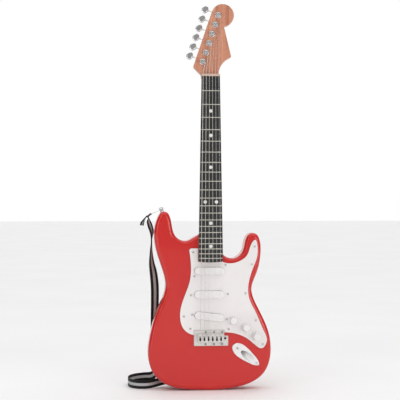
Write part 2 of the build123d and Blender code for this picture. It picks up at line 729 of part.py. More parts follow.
def potentiometers():
    """Cans with their threaded bushes and three solder tags each."""
    cans = []
    for _, place in CONTROLS:
        can_front = FRONT + WALL
        can = rod(place, POT_R, can_front, can_front + POT_DEPTH)
        can = can + rod(place, BUSH_R, GUARD_TOP - BUSH_RISE, can_front)
        for step in (-TAG_PITCH, 0, TAG_PITCH):
            tag = Pos(place[0] + step, place[1] - POT_R) * Rectangle(*TAG)
            can = can + slab(tag, can_front + 1, can_front + 1 + TAG_THICKNESS)
        bore_end = can_front + SHAFT_SINK + POT_END_GAP
        can = can - rod(place, SHAFT_R + RUNNING_GAP, GUARD_TOP - BUSH_RISE - 1, bore_end)
        cans.append(can)
    return group(cans)


def control_nuts():
    """Hexagon nuts that clamp the bushes to the pickguard."""
    nuts = []
    for _, place in CONTROLS:
        plan = Pos(*place) * (RegularPolygon(CONTROL_NUT_R, 6) - Circle(BUSH_R + PRESS_GAP))
        nuts.append(slab(plan, GUARD_TOP - CONTROL_NUT, GUARD_TOP))
    return group(nuts)


# ---------------------------------------------------------------- bridge

def bridge_screw_places():
    """Two rows of screws that hold the bridge to the body."""
    return [(x, z) for x in BRIDGE_SCREW_X for z in BRIDGE_SCREW_Z]


def string_x(index, half_spread):
    """X of a string where the outer strings are half_spread from the centre."""
    return -half_spread + index * 2 * half_spread / (len(STRING_R) - 1)


def string_spread(height):
    """Half of the distance between the outer strings at a height."""
    share = (height - SADDLE_Z) / (NUT_Z - SADDLE_Z)
    return STRING_HALF_SADDLE + share * (STRING_HALF_NUT - STRING_HALF_SADDLE)


def bridge_base():
    """Bridge plate with a raised block, one teardrop slot for each string, and the arm's collar."""
    width = BRIDGE_RIGHT - BRIDGE_LEFT
    plate = Pos((BRIDGE_LEFT + BRIDGE_RIGHT) / 2, (BRIDGE_LOW + BRIDGE_HIGH) / 2)
    plate = plate * Rectangle(width, BRIDGE_HIGH - BRIDGE_LOW)
    ear_width = BRIDGE_EAR_RIGHT - BRIDGE_LEFT
    ear = Pos((BRIDGE_LEFT + BRIDGE_EAR_RIGHT) / 2, (BRIDGE_LOW + BRIDGE_EAR_HIGH) / 2)
    plate = plate + ear * Rectangle(ear_width, BRIDGE_EAR_HIGH - BRIDGE_LOW)
    plate = fillet(plate.vertices(), BRIDGE_CORNER)
    top = FRONT - BRIDGE_BASE
    base = slab(plate, top, FRONT)
    base = chamfer(base.faces().sort_by(Axis.Y)[0].edges(), BRIDGE_EDGE)
    block_plan = RectangleRounded(2 * BLOCK_HALF, BLOCK_HIGH - BLOCK_LOW, BLOCK_CORNER)
    block_plan = Pos(0, (BLOCK_LOW + BLOCK_HIGH) / 2) * block_plan
    block = slab(block_plan, top - BLOCK_RISE, top)
    block = fillet(block.faces().sort_by(Axis.Y)[0].edges(), BLOCK_EDGE)
    base = base + block
    for index in range(len(STRING_R)):
        x = string_x(index, STRING_HALF_SADDLE)
        low = Pos(x, SLOT_LOW[0]) * Circle(SLOT_LOW[1])
        high = Pos(x, SLOT_HIGH[0]) * Circle(SLOT_HIGH[1])
        base = base - slab(make_hull((low + high).edges()), top - BLOCK_RISE - 1, FRONT - 1)
    base = base + rod(ARM_HOLE, ARM_COLLAR_R, top - 1, top)
    base = base - rod(ARM_HOLE, ARM_HOLE_R, top - 2, FRONT + 1)
    for place in bridge_screw_places():
        base = base - rod(place, TRIM_HOLE_R, top - 1, FRONT + 1)
    return base


def bridge_saddles():
    """One small saddle under each string, standing on the block."""
    pitch = 2 * STRING_HALF_SADDLE / (len(STRING_R) - 1)
    foot = FRONT - BRIDGE_BASE - BLOCK_RISE
    saddles = []
    for index in range(len(STRING_R)):
        x = string_x(index, STRING_HALF_SADDLE)
        plan = Pos(x, SADDLE_Z) * RectangleRounded(pitch - SADDLE_GAP, SADDLE_LENGTH, SADDLE_CORNER)
        bar = slab(plan, SADDLE_TOP, foot)
        saddles.append(fillet(bar.faces().sort_by(Axis.Y)[0].edges(), SADDLE_EDGE))
    return group(saddles)


def bridge_screws():
    """Countersunk-looking screws of the bridge plate."""
    return flat_screws(bridge_screw_places(), FRONT - BRIDGE_BASE, TRIM_LENGTH)


# ---------------------------------------------------------------- jack

def jack_point(along):
    """Point on the jack plate's long axis, measured from its centre."""
    return on_circle(JACK, along, -JACK_TURN)


def jack_axis_frame():
    """Frame of the socket: +Z points out of the cup along its sloping floor."""
    slope = radians(CUP_SLOPE)
    turn = radians(JACK_TURN)
    direction = (cos(slope) * cos(turn), -sin(slope), -cos(slope) * sin(turn))
    place = jack_point(-CUP_LENGTH / 2 + SOCKET_SETBACK)
    return Plane(origin=(place[0], FRONT + SOCKET_DEPTH, place[1]), z_dir=direction)


def jack_plate():
    """Boat-shaped plate with a cup that slopes up from the socket to the treble end."""
    tail, nose, half = -JACK_HALF_LENGTH, JACK_HALF_LENGTH, JACK_HALF_WIDTH
    side = [
        (tail, 0), (tail + 3.5, half * 0.62), (-7, half), (13, half * 0.72), (nose - 2.5, half * 0.28), (nose, 0),
    ]
    lower = [(x, -y) for x, y in side[1:-1]]
    plan = make_face(Spline(*(side + lower[::-1]), periodic=True))
    top = FRONT - JACK_RISE
    plate = slab(jack_turn(plan), top, FRONT)
    plate = chamfer(plate.faces().sort_by(Axis.Y)[0].edges(), JACK_EDGE)
    cup = slab(jack_turn(SlotOverall(CUP_LENGTH, CUP_WIDTH)), FRONT, FRONT + CUP_DEPTH)
    plate = plate + cup
    frame = jack_axis_frame()
    channel = extrude(frame * Circle(CUP_WIDTH / 2 - CUP_WALL), CHANNEL_LENGTH)
    plate = plate - channel
    plate = plate - extrude(frame * Circle(SOCKET_BARREL_R + PRESS_GAP), -2 * SOCKET_LENGTH)
    for along in JACK_SCREWS:
        plate = plate - rod(jack_point(along), TRIM_HOLE_R, top - 1, FRONT + CUP_DEPTH)
    return plate


def jack_socket():
    """Barrel of the socket behind the cup's end wall."""
    frame = jack_axis_frame()
    barrel = extrude(frame * Circle(SOCKET_BARREL_R), -SOCKET_LENGTH)
    barrel = barrel + extrude(frame * RegularPolygon(SOCKET_NUT_R, 6), SOCKET_NUT)
    return barrel - extrude(frame.offset(2) * Circle(SOCKET_BORE_R), -SOCKET_LENGTH)


def jack_screws():
    """The two screws of the jack plate."""
    places = [jack_point(along) for along in JACK_SCREWS]
    return flat_screws(places, FRONT - JACK_RISE, JACK_SCREW_LENGTH)


# ---------------------------------------------------------------- electronics behind the back shell

def speaker_frame():
    """Basket with its rim, and the magnet behind it."""
    return Pos(SPEAKER[0], SPEAKER_FACE, SPEAKER[1]) * revolve_about_y(BASKET_PROFILE)


def speaker_cone():
    """Paper cone and dust cap, free to travel inside the basket."""
    return Pos(SPEAKER[0], SPEAKER_FACE, SPEAKER[1]) * revolve_about_y(CONE_PROFILE)


def revolve_about_y(profile):
    """Turned solid from points of (radius, distance along Y)."""
    return revolve(make_face(Polyline(*profile, close=True)), Axis.Y)


def board_posts():
    """Centres of the four posts that carry the circuit board."""
    left, right, low, high = BOARD_BOX
    inset = 4.0
    return [(x, z) for x in (left + inset, right - inset) for z in (low + inset, high - inset)]


def amplifier_board():
    """Circuit board with its amplifier chip, capacitors and connector."""
    left, right, low, high = BOARD_BOX
    centre = ((left + right) / 2, (low + high) / 2)
    plan = Pos(*centre) * Rectangle(right - left, high - low)
    for place in board_posts():
        plan = plan - Pos(*place) * Circle(BOARD_HOLE_R)
    board = slab(plan, BOARD_Y, BOARD_Y + BOARD)
    board = board + slab(Pos(*centre) * Rectangle(*CHIP[:2]), BOARD_Y - CHIP[2], BOARD_Y)
    for place in CAPACITOR_PLACES:
        board = board + slab(Pos(*centre) * Pos(*place) * Circle(CAPACITOR[0]), BOARD_Y - CAPACITOR[1], BOARD_Y)
    return board + slab(Pos(*centre) * Pos(*PLUG_PLACE) * Rectangle(*PLUG[:2]), BOARD_Y - PLUG[2], BOARD_Y)


def battery_cells():
    """Three dry cells side by side, each with its raised positive end."""
    cells = []
    for index, height in enumerate(CELL_Z):
        side = 1 if index % 2 == 0 else -1
        cell = Cylinder(CELL_R, CELL_LENGTH) + Pos(0, 0, CELL_LENGTH / 2) * upright(*CELL_TIP)
        cells.append(Pos(0, CELL_Y, height) * Rot(0, 90 * side, 0) * cell)
    return group(cells)


def battery_contacts():
    """Sprung contact plates at both ends of the cells."""
    contacts = []
    for height in CELL_Z:
        for side in (-1, 1):
            coil = Cylinder(SPRING_R[0], SPRING_LENGTH) - Cylinder(SPRING_R[1], SPRING_LENGTH + 1)
            spring = Rot(0, 90, 0) * coil
            contact = Pos(side * (BAY_HALF - CONTACT[0] / 2), CELL_Y, height) * Box(*CONTACT)
            contacts.append(contact + Pos(side * SPRING_PLACE, CELL_Y, height) * spring)
    return group(contacts)


def battery_door():
    """Hinged flap, flush with the back, with a barrel and stub pins at its lower edge."""
    pivot_y, pivot_z = DOOR_PIVOT
    high = BAY_HIGH - DOOR_GAP
    half = BAY_HALF - DOOR_GAP
    plan = Pos(0, (pivot_z + high) / 2) * Rectangle(2 * half, high - pivot_z)
    door = slab(plan, BACK - DOOR, BACK)
    barrel = Rot(0, 90, 0) * Cylinder(DOOR_BARREL_R, 2 * half)
    pins = Rot(0, 90, 0) * Cylinder(DOOR_PIN_R, 2 * (BAY_HALF + BAY_WALL - PIN_END_GAP))
    door = door + Pos(0, pivot_y, pivot_z) * (barrel + pins)
    door = door - rod(DOOR_SCREW, DOOR_EYE_R, BACK - DOOR - 1, BACK + 1)
    for index in range(GRIP_COUNT):
        length = GRIP_LENGTH - GRIP_TAPER * index
        groove = Pos(0, high - GRIP_DROP - GRIP_PITCH * index) * SlotOverall(length, GRIP_WIDTH)
        door = door - slab(groove, BACK - GRIP_DEPTH, BACK + 1)
    return door


def battery_door_screw():
    """Captive screw of the battery door."""
    head_r, head, shank_r, length = DOOR_SCREW_SIZE
    return rear_screw(DOOR_SCREW, BACK + head, head_r, head, shank_r, length)


def wiring():
    """Leads between the pickups, controls, board, jack, speaker and battery bay."""
    routes = [
        [(-2, -16.3, 204), (-2, -13, 190), (10, -12, 165), (30, -10, 145), (38, -8.0, 124)],
        [(46, -8.0, 118), (51, -6, 115), (57, -8.0, 112)],
        [(68, -8.0, 106), (72, -6, 102), (77, -8.0, 98)],
        [(34, -14, 112), (20, -5, 108), (-10, -4, 114), (-36, -3, 122), (-50, 3, 124)],
        [(-44, 5, 104), (-40, 3, 84), (-37, 6, 64), (-33.5, 8, 60)],
        [(-48, 6, 138), (-44, 6, 152), (-30, 2, 160), (-14, 2, 160)],
    ]
    leads = []
    for route in routes:
        path = FilletPolyline(*route, radius=LEAD_BEND_R)
        section = Plane(origin=path @ 0, z_dir=path % 0) * Circle(LEAD_R)
        leads.append(sweep(section, path=path))
    return group(leads)


# ---------------------------------------------------------------- neck

def neck_section(half_width, depth, height):
    """D-shaped section of the neck at a height."""
    flat = Line((-half_width, BOARD_BASE), (half_width, BOARD_BASE))
    rounded = ThreePointArc((half_width, BOARD_BASE), (0, BOARD_BASE + depth), (-half_width, BOARD_BASE))
    return Plane.XY.offset(height) * closed(flat, rounded)


def board_half(height):
    """Half width of the fretboard at a height."""
    share = (NUT_Z - height) / (NUT_Z - BOARD_END_Z)
    return BOARD_HALF_NUT + share * (BOARD_HALF_END - BOARD_HALF_NUT)


def headstock_plan():
    """Outline of the six-in-line headstock with its round tip."""
    tip_left = on_circle(BALL, BALL_R, 180 - TUNER_TILT)
    tip_right = on_circle(BALL, BALL_R, HEAD_TIP_ANGLE)
    root = NUT_Z - 3
    tip = ThreePointArc(tip_left, on_circle(BALL, BALL_R, 45), tip_right)
    treble = Line(tip_right, HEAD_CORNER)
    throat = Spline(HEAD_CORNER, (24.5, 571.6), (17.2, 561.5), (15.4, root))
    base = Polyline((15.4, root), (-15.4, root), (-16.3, 548.0), HEAD_SHOULDER, tip_left)
    plan = closed(tip, treble, throat, base)
    for corner, radius in ((HEAD_SHOULDER, 4.0), (HEAD_CORNER, 2.5), (tip_right, 1.5)):
        plan = fillet(plan.vertices().sort_by_distance((*corner, 0))[0], radius)
    return plan


def neck():
    """Neck, heel and headstock in one piece, with bored post holes and screw holes."""
    lap = HEEL_TOP_Z - HEEL_LAP
    shaft = loft([
        neck_section(board_half(lap), NECK_DEPTH_HEEL, lap),
        neck_section(BOARD_HALF_NUT - NECK_INSET, NECK_DEPTH_NUT, NUT_Z + NUT_LENGTH),
    ])
    low = BOARD_END_Z + 1
    heel_plan = Pos(0, (low + HEEL_TOP_Z) / 2) * Rectangle(2 * HEEL_HALF, HEEL_TOP_Z - low)
    heel = slab(heel_plan, BOARD_BASE, HEEL_FLOOR)
    head = slab(headstock_plan(), HEAD_FRONT, HEAD_BACK)
    head = fillet(head.faces().sort_by(Axis.Y)[0].edges(), HEAD_EDGE)
    part = shaft + heel + head
    for post in POSTS:
        part = part - rod(post, BUSHING_SLEEVE_R, HEAD_FRONT - 1, HEAD_BACK + 5)
        for ear in EARS:
            part = part - tuner_place(post) * rod(ear, EAR_SCREW_R, HEAD_BACK - EAR_SCREW_LENGTH, HEAD_BACK + 5)
    for place in neck_screw_places():
        part = part - rod(place, NECK_SCREW_R + PRESS_GAP, NECK_BORE_TOP, HEEL_FLOOR + 1)
    return part


def fretboard():
    """Tapered fretboard with rounded lower corners and pockets for the dots."""
    low = BOARD_END_Z
    bass_end = (-BOARD_HALF_END, low + BOARD_BOW)
    treble_end = (BOARD_HALF_END, low + BOARD_BOW)
    bow = ThreePointArc(bass_end, (0, low), treble_end)
    sides = Polyline(treble_end, (BOARD_HALF_NUT, NUT_Z), (-BOARD_HALF_NUT, NUT_Z), bass_end)
    plan = closed(bow, sides)
    for corner in (bass_end, treble_end):
        plan = fillet(plan.vertices().sort_by_distance((*corner, 0))[0], BOARD_CORNER)
    board = slab(plan, BOARD_TOP, BOARD_BASE)
    board = chamfer(board.faces().sort_by(Axis.Y)[0].edges(), BOARD_EDGE)
    for place in dot_places():
        board = board - rod(place, DOT_R, BOARD_TOP - 1, BOARD_TOP + DOT_DEPTH)
    return board


def fret_z(number):
    """Height of a fret by equal temperament."""
    return NUT_Z - SCALE * (1 - 2 ** (-number / 12))


def dot_places():
    """Centres of the position dots."""
    places = []
    for space in DOT_SPACES:
        places.append((0, (fret_z(space) + fret_z(space - 1)) / 2))
    middle = (fret_z(DOUBLE_DOT_SPACE) + fret_z(DOUBLE_DOT_SPACE - 1)) / 2
    return places + [(-DOUBLE_DOT_X, middle), (DOUBLE_DOT_X, middle)]


def frets():
    """Half-round fret wires across the fretboard."""
    wires = []
    for number in range(1, FRET_COUNT + 1):
        height = fret_z(number)
        half = board_half(height) - FRET_INSET
        crown = ThreePointArc((-FRET_HALF_WIDTH, 0), (0, FRET_HEIGHT), (FRET_HALF_WIDTH, 0))
        section = closed(crown, Line((FRET_HALF_WIDTH, 0), (-FRET_HALF_WIDTH, 0)))
        frame = Plane(origin=(-half, BOARD_TOP, height), x_dir=(0, 0, 1), z_dir=(1, 0, 0))
        wires.append(extrude(frame * section, 2 * half))
    return group(wires)


def fret_markers():
    """Round inlays, flush with the fretboard."""
    return group([rod(place, DOT_R, BOARD_TOP, BOARD_TOP + DOT_DEPTH) for place in dot_places()])


def nut():
    """Nut with a notch for each string."""
    plan = Pos(0, NUT_Z + NUT_LENGTH / 2) * Rectangle(2 * BOARD_HALF_NUT, NUT_LENGTH)
    bar = slab(plan, BOARD_BASE - NUT_HEIGHT - NUT_CROWN, BOARD_BASE)
    for index, radius in enumerate(STRING_R):
        notch = Rectangle(2 * (radius + NUT_NOTCH_GAP), NUT_LENGTH + 1)
        notch = Pos(string_x(index, STRING_HALF_NUT), NUT_Z + NUT_LENGTH / 2) * notch
        bar = bar - slab(notch, BOARD_BASE - NUT_HEIGHT - 2, BOARD_BASE - NUT_HEIGHT)
    return bar


def neck_plate():
    """Steel plate behind the heel."""
    width = NECK_SCREW_X[1] - NECK_SCREW_X[0] + 2 * PLATE_MARGIN
    height = NECK_SCREW_Z[1] - NECK_SCREW_Z[0] + 2 * PLATE_MARGIN
    plan = Pos(sum(NECK_SCREW_X) / 2, sum(NECK_SCREW_Z) / 2) * RectangleRounded(width, height, PLATE_CORNER)
    plate = slab(plan, BACK, BACK + PLATE)
    plate = chamfer(plate.faces().sort_by(Axis.Y)[-1].edges(), PLATE_EDGE)
    for place in neck_screw_places():
        plate = plate - rod(place, NECK_HOLE_R, BACK - 1, BACK + PLATE + 1)
    return plate


def neck_screws():
    """Four long screws that pull the heel into its pocket."""
    head_back = BACK + PLATE + NECK_SCREW_HEAD
    length = PLATE + BACK + NECK_SCREW_REACH
    screws = []
    for place in neck_screw_places():
        screws.append(rear_screw(place, head_back, NECK_SCREW_HEAD_R, NECK_SCREW_HEAD, NECK_SCREW_R, length))
    return group(screws)


# ---------------------------------------------------------------- machine heads

def tuner_place(post):
    """Places a machine head drawn with its post at the origin and its button towards -X."""
    return Pos(post[0], 0, post[1]) * Rot(0, TUNER_TILT, 0)


def worm_thread():
    """One-start worm whose thread leaves a gap, not a crest, where it faces the gear."""
    root, crest = THREAD_HALF
    helix = Helix(THREAD_PITCH, WORM_TURNS * THREAD_PITCH, WORM_ROOT_R - THREAD_SINK)
    reach = WORM_TIP_R - WORM_ROOT_R + THREAD_SINK
    profile = Polygon((0, -root), (reach, -crest), (reach, crest), (0, root), align=None)
    section = Plane(origin=helix @ 0, x_dir=(1, 0, 0), z_dir=(0, -1, 0)) * profile
    thread = sweep(section, path=helix, is_frenet=True)
    return Pos(0, 0, -WORM_TURNS * THREAD_PITCH / 2) * thread


def tuner_button():
    """Button, shaft and worm of a machine head."""
    frame = Plane(origin=(0, WORM_Y, WORM_OFFSET), x_dir=(0, 0, -1), z_dir=(-1, 0, 0))
    core = Cylinder(WORM_ROOT_R, 2 * (HOUSING_HALF_X - HOUSING_WALL - CORE_GAP))
    tail = -HOUSING_HALF_X + CORE_GAP
    length = BUTTON_CENTRE - tail
    shaft = Pos(0, 0, tail) * upright(WORM_SHAFT_R, length)
    collar = Pos(0, 0, BUTTON_CENTRE - BUTTON_COLLAR_SETBACK) * Cylinder(*BUTTON_COLLAR)
    turned = frame * (core + shaft + collar + worm_thread())
    return turned + Pos(-BUTTON_CENTRE, WORM_Y, WORM_OFFSET) * button_paddle()


def button_paddle():
    """Flattened oval finger button."""
    length, depth, height = BUTTON_SIZE
    paddle = extrude(Plane.XZ.offset(-depth / 2) * Ellipse(length / 2, height / 2), depth)
    return fillet(paddle.edges(), BUTTON_EDGE)


def tuner_post():
    """String post with its slot and waist, and the worm gear on its lower end."""
    post = rod((0, 0), POST_R, POST_TOP, WORM_Y + GEAR_HALF_WIDTH)
    post = chamfer(post.faces().sort_by(Axis.Y)[0].edges(), POST_EDGE)
    waist = rod((0, 0), POST_R + 1, WRAP_Y - WAIST_HALF, WRAP_Y + WAIST_HALF)
    waist = waist - rod((0, 0), POST_R - WAIST_DEPTH, WRAP_Y - 2 * WAIST_HALF, WRAP_Y + 2 * WAIST_HALF)
    post = post - waist
    post = post - slab(Rectangle(POST_SLOT, 2 * POST_R + 1), POST_TOP - 1, POST_TOP + POST_SLOT_DEPTH)
    blank = rod((0, 0), GEAR_ROOT_R, WORM_Y - GEAR_HALF_WIDTH, WORM_Y + GEAR_HALF_WIDTH)
    post = post - rod((0, 0), POST_R + 1, WORM_Y - GEAR_HALF_WIDTH, WORM_Y + GEAR_HALF_WIDTH + 1) + blank
    stub_end = HOUSING_BACK - HOUSING_WALL - POST_STUB_GAP
    stub = rod((0, 0), POST_STUB_R, WORM_Y + GEAR_HALF_WIDTH, stub_end)
    root, crest = TOOTH_HALF
    foot = GEAR_ROOT_R - TOOTH_SINK
    tooth = Polygon((-root, foot), (root, foot), (crest, GEAR_TIP_R), (-crest, GEAR_TIP_R), align=None)
    for index in range(GEAR_TEETH):
        turned = Rot(0, 0, index * 360 / GEAR_TEETH) * tooth
        post = post + slab(turned, WORM_Y - GEAR_HALF_WIDTH, WORM_Y + GEAR_HALF_WIDTH)
    return post + stub


def tuner_housing():
    """Cast cover round the worm and gear, open towards the headstock, with two screw ears."""
    height = HOUSING_HIGH_Z - HOUSING_LOW_Z
    middle = (HOUSING_HIGH_Z + HOUSING_LOW_Z) / 2
    plan = Pos(0, middle) * RectangleRounded(2 * HOUSING_HALF_X, height, HOUSING_CORNER)
    cover = slab(plan, HEAD_BACK, HOUSING_BACK)
    cover = fillet(cover.faces().sort_by(Axis.Y)[-1].edges(), HOUSING_EDGE)
    for ear in EARS:
        root = Pos(ear[0] * EAR_LAP, ear[1] * EAR_LAP) * Circle(EAR_R)
        lug = make_hull((Pos(*ear) * Circle(EAR_R) + root).edges())
        cover = cover + slab(lug, HEAD_BACK, HEAD_BACK + EAR)
    inside = RectangleRounded(2 * (HOUSING_HALF_X - HOUSING_WALL), height - 2 * HOUSING_WALL, HOUSING_CORNER / 2)
    inside = Pos(0, middle) * inside
    cover = cover - slab(inside, HEAD_BACK - 1, HOUSING_BACK - HOUSING_WALL)
    cover = cover - Pos(0, WORM_Y, WORM_OFFSET) * Rot(0, 90, 0) * Cylinder(WORM_SHAFT_R + RUNNING_GAP, 30)
    for ear in EARS:
        cover = cover - rod(ear, EAR_SCREW_R + EAR_HOLE_GAP, HEAD_BACK - 1, HEAD_BACK + 1.5 * EAR)
    return cover


def tuner_bushing():
    """Chromed bushing pressed into the headstock round a post."""
    flange = rod((0, 0), BUSHING_FLANGE_R, HEAD_FRONT - BUSHING_FLANGE, HEAD_FRONT)
    flange = chamfer(flange.faces().sort_by(Axis.Y)[0].edges(), BUSHING_EDGE)
    sleeve = rod((0, 0), BUSHING_SLEEVE_R, HEAD_FRONT, HEAD_BACK)
    return flange + sleeve - rod((0, 0), POST_R + RUNNING_GAP, HEAD_FRONT - 3, HEAD_BACK + 1)


def tuner_screws():
    """Two small screws for each housing."""
    head_back = HEAD_BACK + EAR + EAR_SCREW_HEAD
    screws = []
    for post in POSTS:
        for ear in EARS:
            screw = rear_screw(ear, head_back, EAR_SCREW_HEAD_R, EAR_SCREW_HEAD, EAR_SCREW_R, EAR_SCREW_LENGTH)
            screws.append(tuner_place(post) * screw)
    return group(screws)


# ---------------------------------------------------------------- strings

def strings():
    """Six strings: ball end in its slot, saddle, nut, and a turn round its post."""
    made = []
    for index, radius in enumerate(STRING_R):
        x_saddle = string_x(index, STRING_HALF_SADDLE)
        x_nut = string_x(index, STRING_HALF_NUT)
        post = POSTS[index]
        wrap_r = POST_R + WRAP_GAP + radius + WRAP_EXTRA
        ball = (x_saddle, FRONT - BRIDGE_BASE - STRING_BALL_SINK, SLOT_LOW[0])
        saddle = (x_saddle, SADDLE_TOP - radius - STRING_LIFT, SADDLE_Z - SADDLE_LENGTH / 2 - STRING_BREAK)
        nut_point = (x_nut, BOARD_BASE - NUT_HEIGHT - radius - STRING_LIFT, NUT_Z + NUT_LENGTH + STRING_BREAK)
        end = (post[0] + wrap_r, WRAP_Y, post[1])
        path = FilletPolyline(ball, saddle, nut_point, end, radius=STRING_BEND_R)
        wire = sweep(Plane(origin=path @ 0, z_dir=path % 0) * Circle(radius), path=path)
        turn = Pos(post[0], WRAP_Y, post[1]) * Rot(90, 0, 0) * Torus(wrap_r, radius + WRAP_EXTRA)
        made.append(wire + turn + Pos(*ball) * Sphere(STRING_BALL_R))
    return group(made)


# ---------------------------------------------------------------- strap

def bass_pin_frame():
    """Frame on the bass horn's tip: +Z points out along the strap pin."""
    place = on_circle(BASS_HORN, BASS_HORN_R + PIN_SEAT, BASS_PIN_ANGLE)
    angle = radians(BASS_PIN_ANGLE)
    return Plane(origin=(place[0], BASS_PIN_Y, place[1]), z_dir=(cos(angle), 0, sin(angle)))


def lower_pin_frame():
    """Frame on the back of the body: +Z points out along the lower strap pin."""
    return Plane(origin=(LOWER_PIN[0], BACK, LOWER_PIN[1]), z_dir=(0, 1, 0))


def strap_pin():
    """Turned strap pin with a waist, drawn standing on its base."""
    outline = Polyline(
        (PIN_EYE_R, 0), (PIN_FOOT_R, 0), (PIN_FOOT_R, PIN_FOOT), (PIN_NECK_R, PIN_FLARE),
        (PIN_NECK_R, PIN_LENGTH - PIN_HEAD), (PIN_HEAD_R, PIN_LENGTH - PIN_RIM[0]),
        (PIN_HEAD_R, PIN_LENGTH - PIN_RIM[1]), (PIN_FOOT_R, PIN_LENGTH), (PIN_EYE_R, PIN_LENGTH), close=True,
    )
    return revolve(Plane.XZ * make_face(outline), Axis.Z)


def strap_pins():
    """Both strap pins."""
    return group([bass_pin_frame() * strap_pin(), lower_pin_frame() * strap_pin()])


def strap_pin_screws():
    """Screws through the strap pins."""
    shank = Pos(0, 0, -PIN_BOSS_DEPTH) * upright(PIN_SCREW_R, PIN_LENGTH + PIN_BOSS_DEPTH)
    head = Pos(0, 0, PIN_LENGTH) * upright(PIN_SCREW_HEAD_R, PIN_SCREW_HEAD)
    head = chamfer(head.faces().sort_by(Axis.Z)[-1].edges(), PIN_SCREW_HEAD * FACE_DOME)
    screw = shank + head - Pos(0, 0, PIN_LENGTH + PIN_SCREW_HEAD) * Box(*PIN_SCREW_SLOT)
    return group([bass_pin_frame() * screw, lower_pin_frame() * screw])


def strap_webbing():
    """Woven band along its route, one straight facet between neighbouring stations."""
    sections = []
    for index, (point, width) in enumerate(STRAP_ROUTE):
        before = Vector(*STRAP_ROUTE[max(index - 1, 0)][0])
        after = Vector(*STRAP_ROUTE[min(index + 1, len(STRAP_ROUTE) - 1)][0])
        tangent = (after - before).normalized()
        across = Vector(*width)
        across = (across - tangent * across.dot(tangent)).normalized()
        sections.append(Plane(origin=point, x_dir=across, z_dir=tangent) * Rectangle(STRAP_WIDTH, STRAP))
    return loft(sections, ruled=True)


def upper_tab_frame():
    """Frame at the waist of the horn's pin: +X runs along the tab to its ring, +Z along the pin."""
    pin = bass_pin_frame()
    axis = pin.z_dir
    return Plane(origin=pin.origin + axis * PIN_WAIST, x_dir=(-axis.Z, 0, axis.X), z_dir=axis)


def lower_tab_frame():
    """Frame at the waist of the rear pin: +X runs along the tab to its ring, +Z along the pin."""
    pin = lower_pin_frame()
    return Plane(origin=pin.origin + pin.z_dir * PIN_WAIST, x_dir=(-1, 0, 0), z_dir=pin.z_dir)


def strap_ring(tab_frame, reach, drop):
    """Loop of round wire whose near bar lies in the tab's barrel and whose far bar hangs by an angle."""
    loop = SlotOverall(*RING_SPACE).wire()
    section = Plane(origin=loop @ 0, z_dir=loop % 0) * Circle(RING_WIRE_R)
    ring = sweep(section, path=loop)
    hung = Rot(0, drop, 0) * Pos(RING_SPACE[1] / 2, 0, 0) * Rot(0, 0, 90) * ring
    return tab_frame * Pos(reach, 0, 0) * hung


def strap_tab(tab_frame, reach):
    """Flat soft tab with a hole round the pin's waist and a barrel round the ring's near bar."""
    far_end = Pos(reach - TAB_BARREL_R, 0) * Rectangle(1, TAB_WIDTH)
    tab = extrude(make_hull((Circle(TAB_END_R) + far_end).edges()), TAB / 2, both=True)
    tab = tab + Pos(reach, 0, 0) * Rot(90, 0, 0) * Cylinder(TAB_BARREL_R, TAB_WIDTH)
    tab = tab - Pos(reach, 0, 0) * Rot(90, 0, 0) * Cylinder(RING_WIRE_R + RUNNING_GAP, TAB_WIDTH + 1)
    return tab_frame * (tab - Cylinder(PIN_NECK_R + TAB_GAP, 4 * TAB))


def strap_rings():
    """Plastic rings that the ends of the webbing are threaded through."""
    upper = strap_ring(upper_tab_frame(), UPPER_TAB_REACH, UPPER_RING_DROP)
    return group([upper, strap_ring(lower_tab_frame(), LOWER_TAB_REACH, 0.0)])


def strap_links():
    """Clear soft tabs between the rings and the strap pins."""
    return group([strap_tab(upper_tab_frame(), UPPER_TAB_REACH), strap_tab(lower_tab_frame(), LOWER_TAB_REACH)])


# ---------------------------------------------------------------- write one STEP file for each node

def nodes():
    """Every node's name and shape."""
    parts = {
        "body_front_shell": front_shell(),
        "body_back_shell": back_shell(),
        "body_screws": body_screws(),
        "pickguard": pickguard(),
        "pickguard_screws": trim_screws(GUARD_SCREWS),
        "pickup_screws": trim_screws(PICKUP_SCREWS),
        "pickup_coils": pickup_coils(),
        "potentiometers": potentiometers(),
        "control_nuts": control_nuts(),
        "bridge_base": bridge_base(),
        "bridge_saddles": bridge_saddles(),
        "bridge_screws": bridge_screws(),
        "jack_plate": jack_plate(),
        "jack_socket": jack_socket(),
        "jack_plate_screws": jack_screws(),
        "speaker_frame": speaker_frame(),
        "speaker_cone": speaker_cone(),
        "amplifier_board": amplifier_board(),
        "battery_cells": battery_cells(),
        "battery_contacts": battery_contacts(),
        "battery_door": battery_door(),
        "battery_door_screw": battery_door_screw(),
        "wiring": wiring(),
        "neck": neck(),
        "fretboard": fretboard(),
        "frets": frets(),
        "fret_markers": fret_markers(),
        "nut": nut(),
        "neck_plate": neck_plate(),
        "neck_screws": neck_screws(),
        "tuner_housings": group([tuner_place(post) * tuner_housing() for post in POSTS]),
        "tuner_bushings": group([tuner_place(post) * tuner_bushing() for post in POSTS]),
        "tuner_screws": tuner_screws(),
        "strings": strings(),
        "strap_pins": strap_pins(),
        "strap_pin_screws": strap_pin_screws(),
        "strap_webbing": strap_webbing(),
        "strap_rings": strap_rings(),
        "strap_links": strap_links(),
    }
    for name, height, tilt in PICKUPS:
        parts[name] = pickup_cover(height, tilt)
    for name, place in CONTROLS:
        parts[name + "_knob"] = knob(place)
        parts[name + "_shaft"] = control_shaft(place)
    button = tuner_button()
    gear_post = tuner_post()
    for number, post in enumerate(POSTS, start=1):
        parts[f"tuner_button_{number}"] = tuner_place(post) * button
        parts[f"tuner_post_{number}"] = tuner_place(post) * gear_post
    return parts


os.makedirs("parts", exist_ok=True)
for node_name, shape in nodes().items():
    export_step(shape, f"parts/{node_name}.step")
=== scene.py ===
import json
import math

import bmesh
import bpy
from mathutils import Matrix, Vector


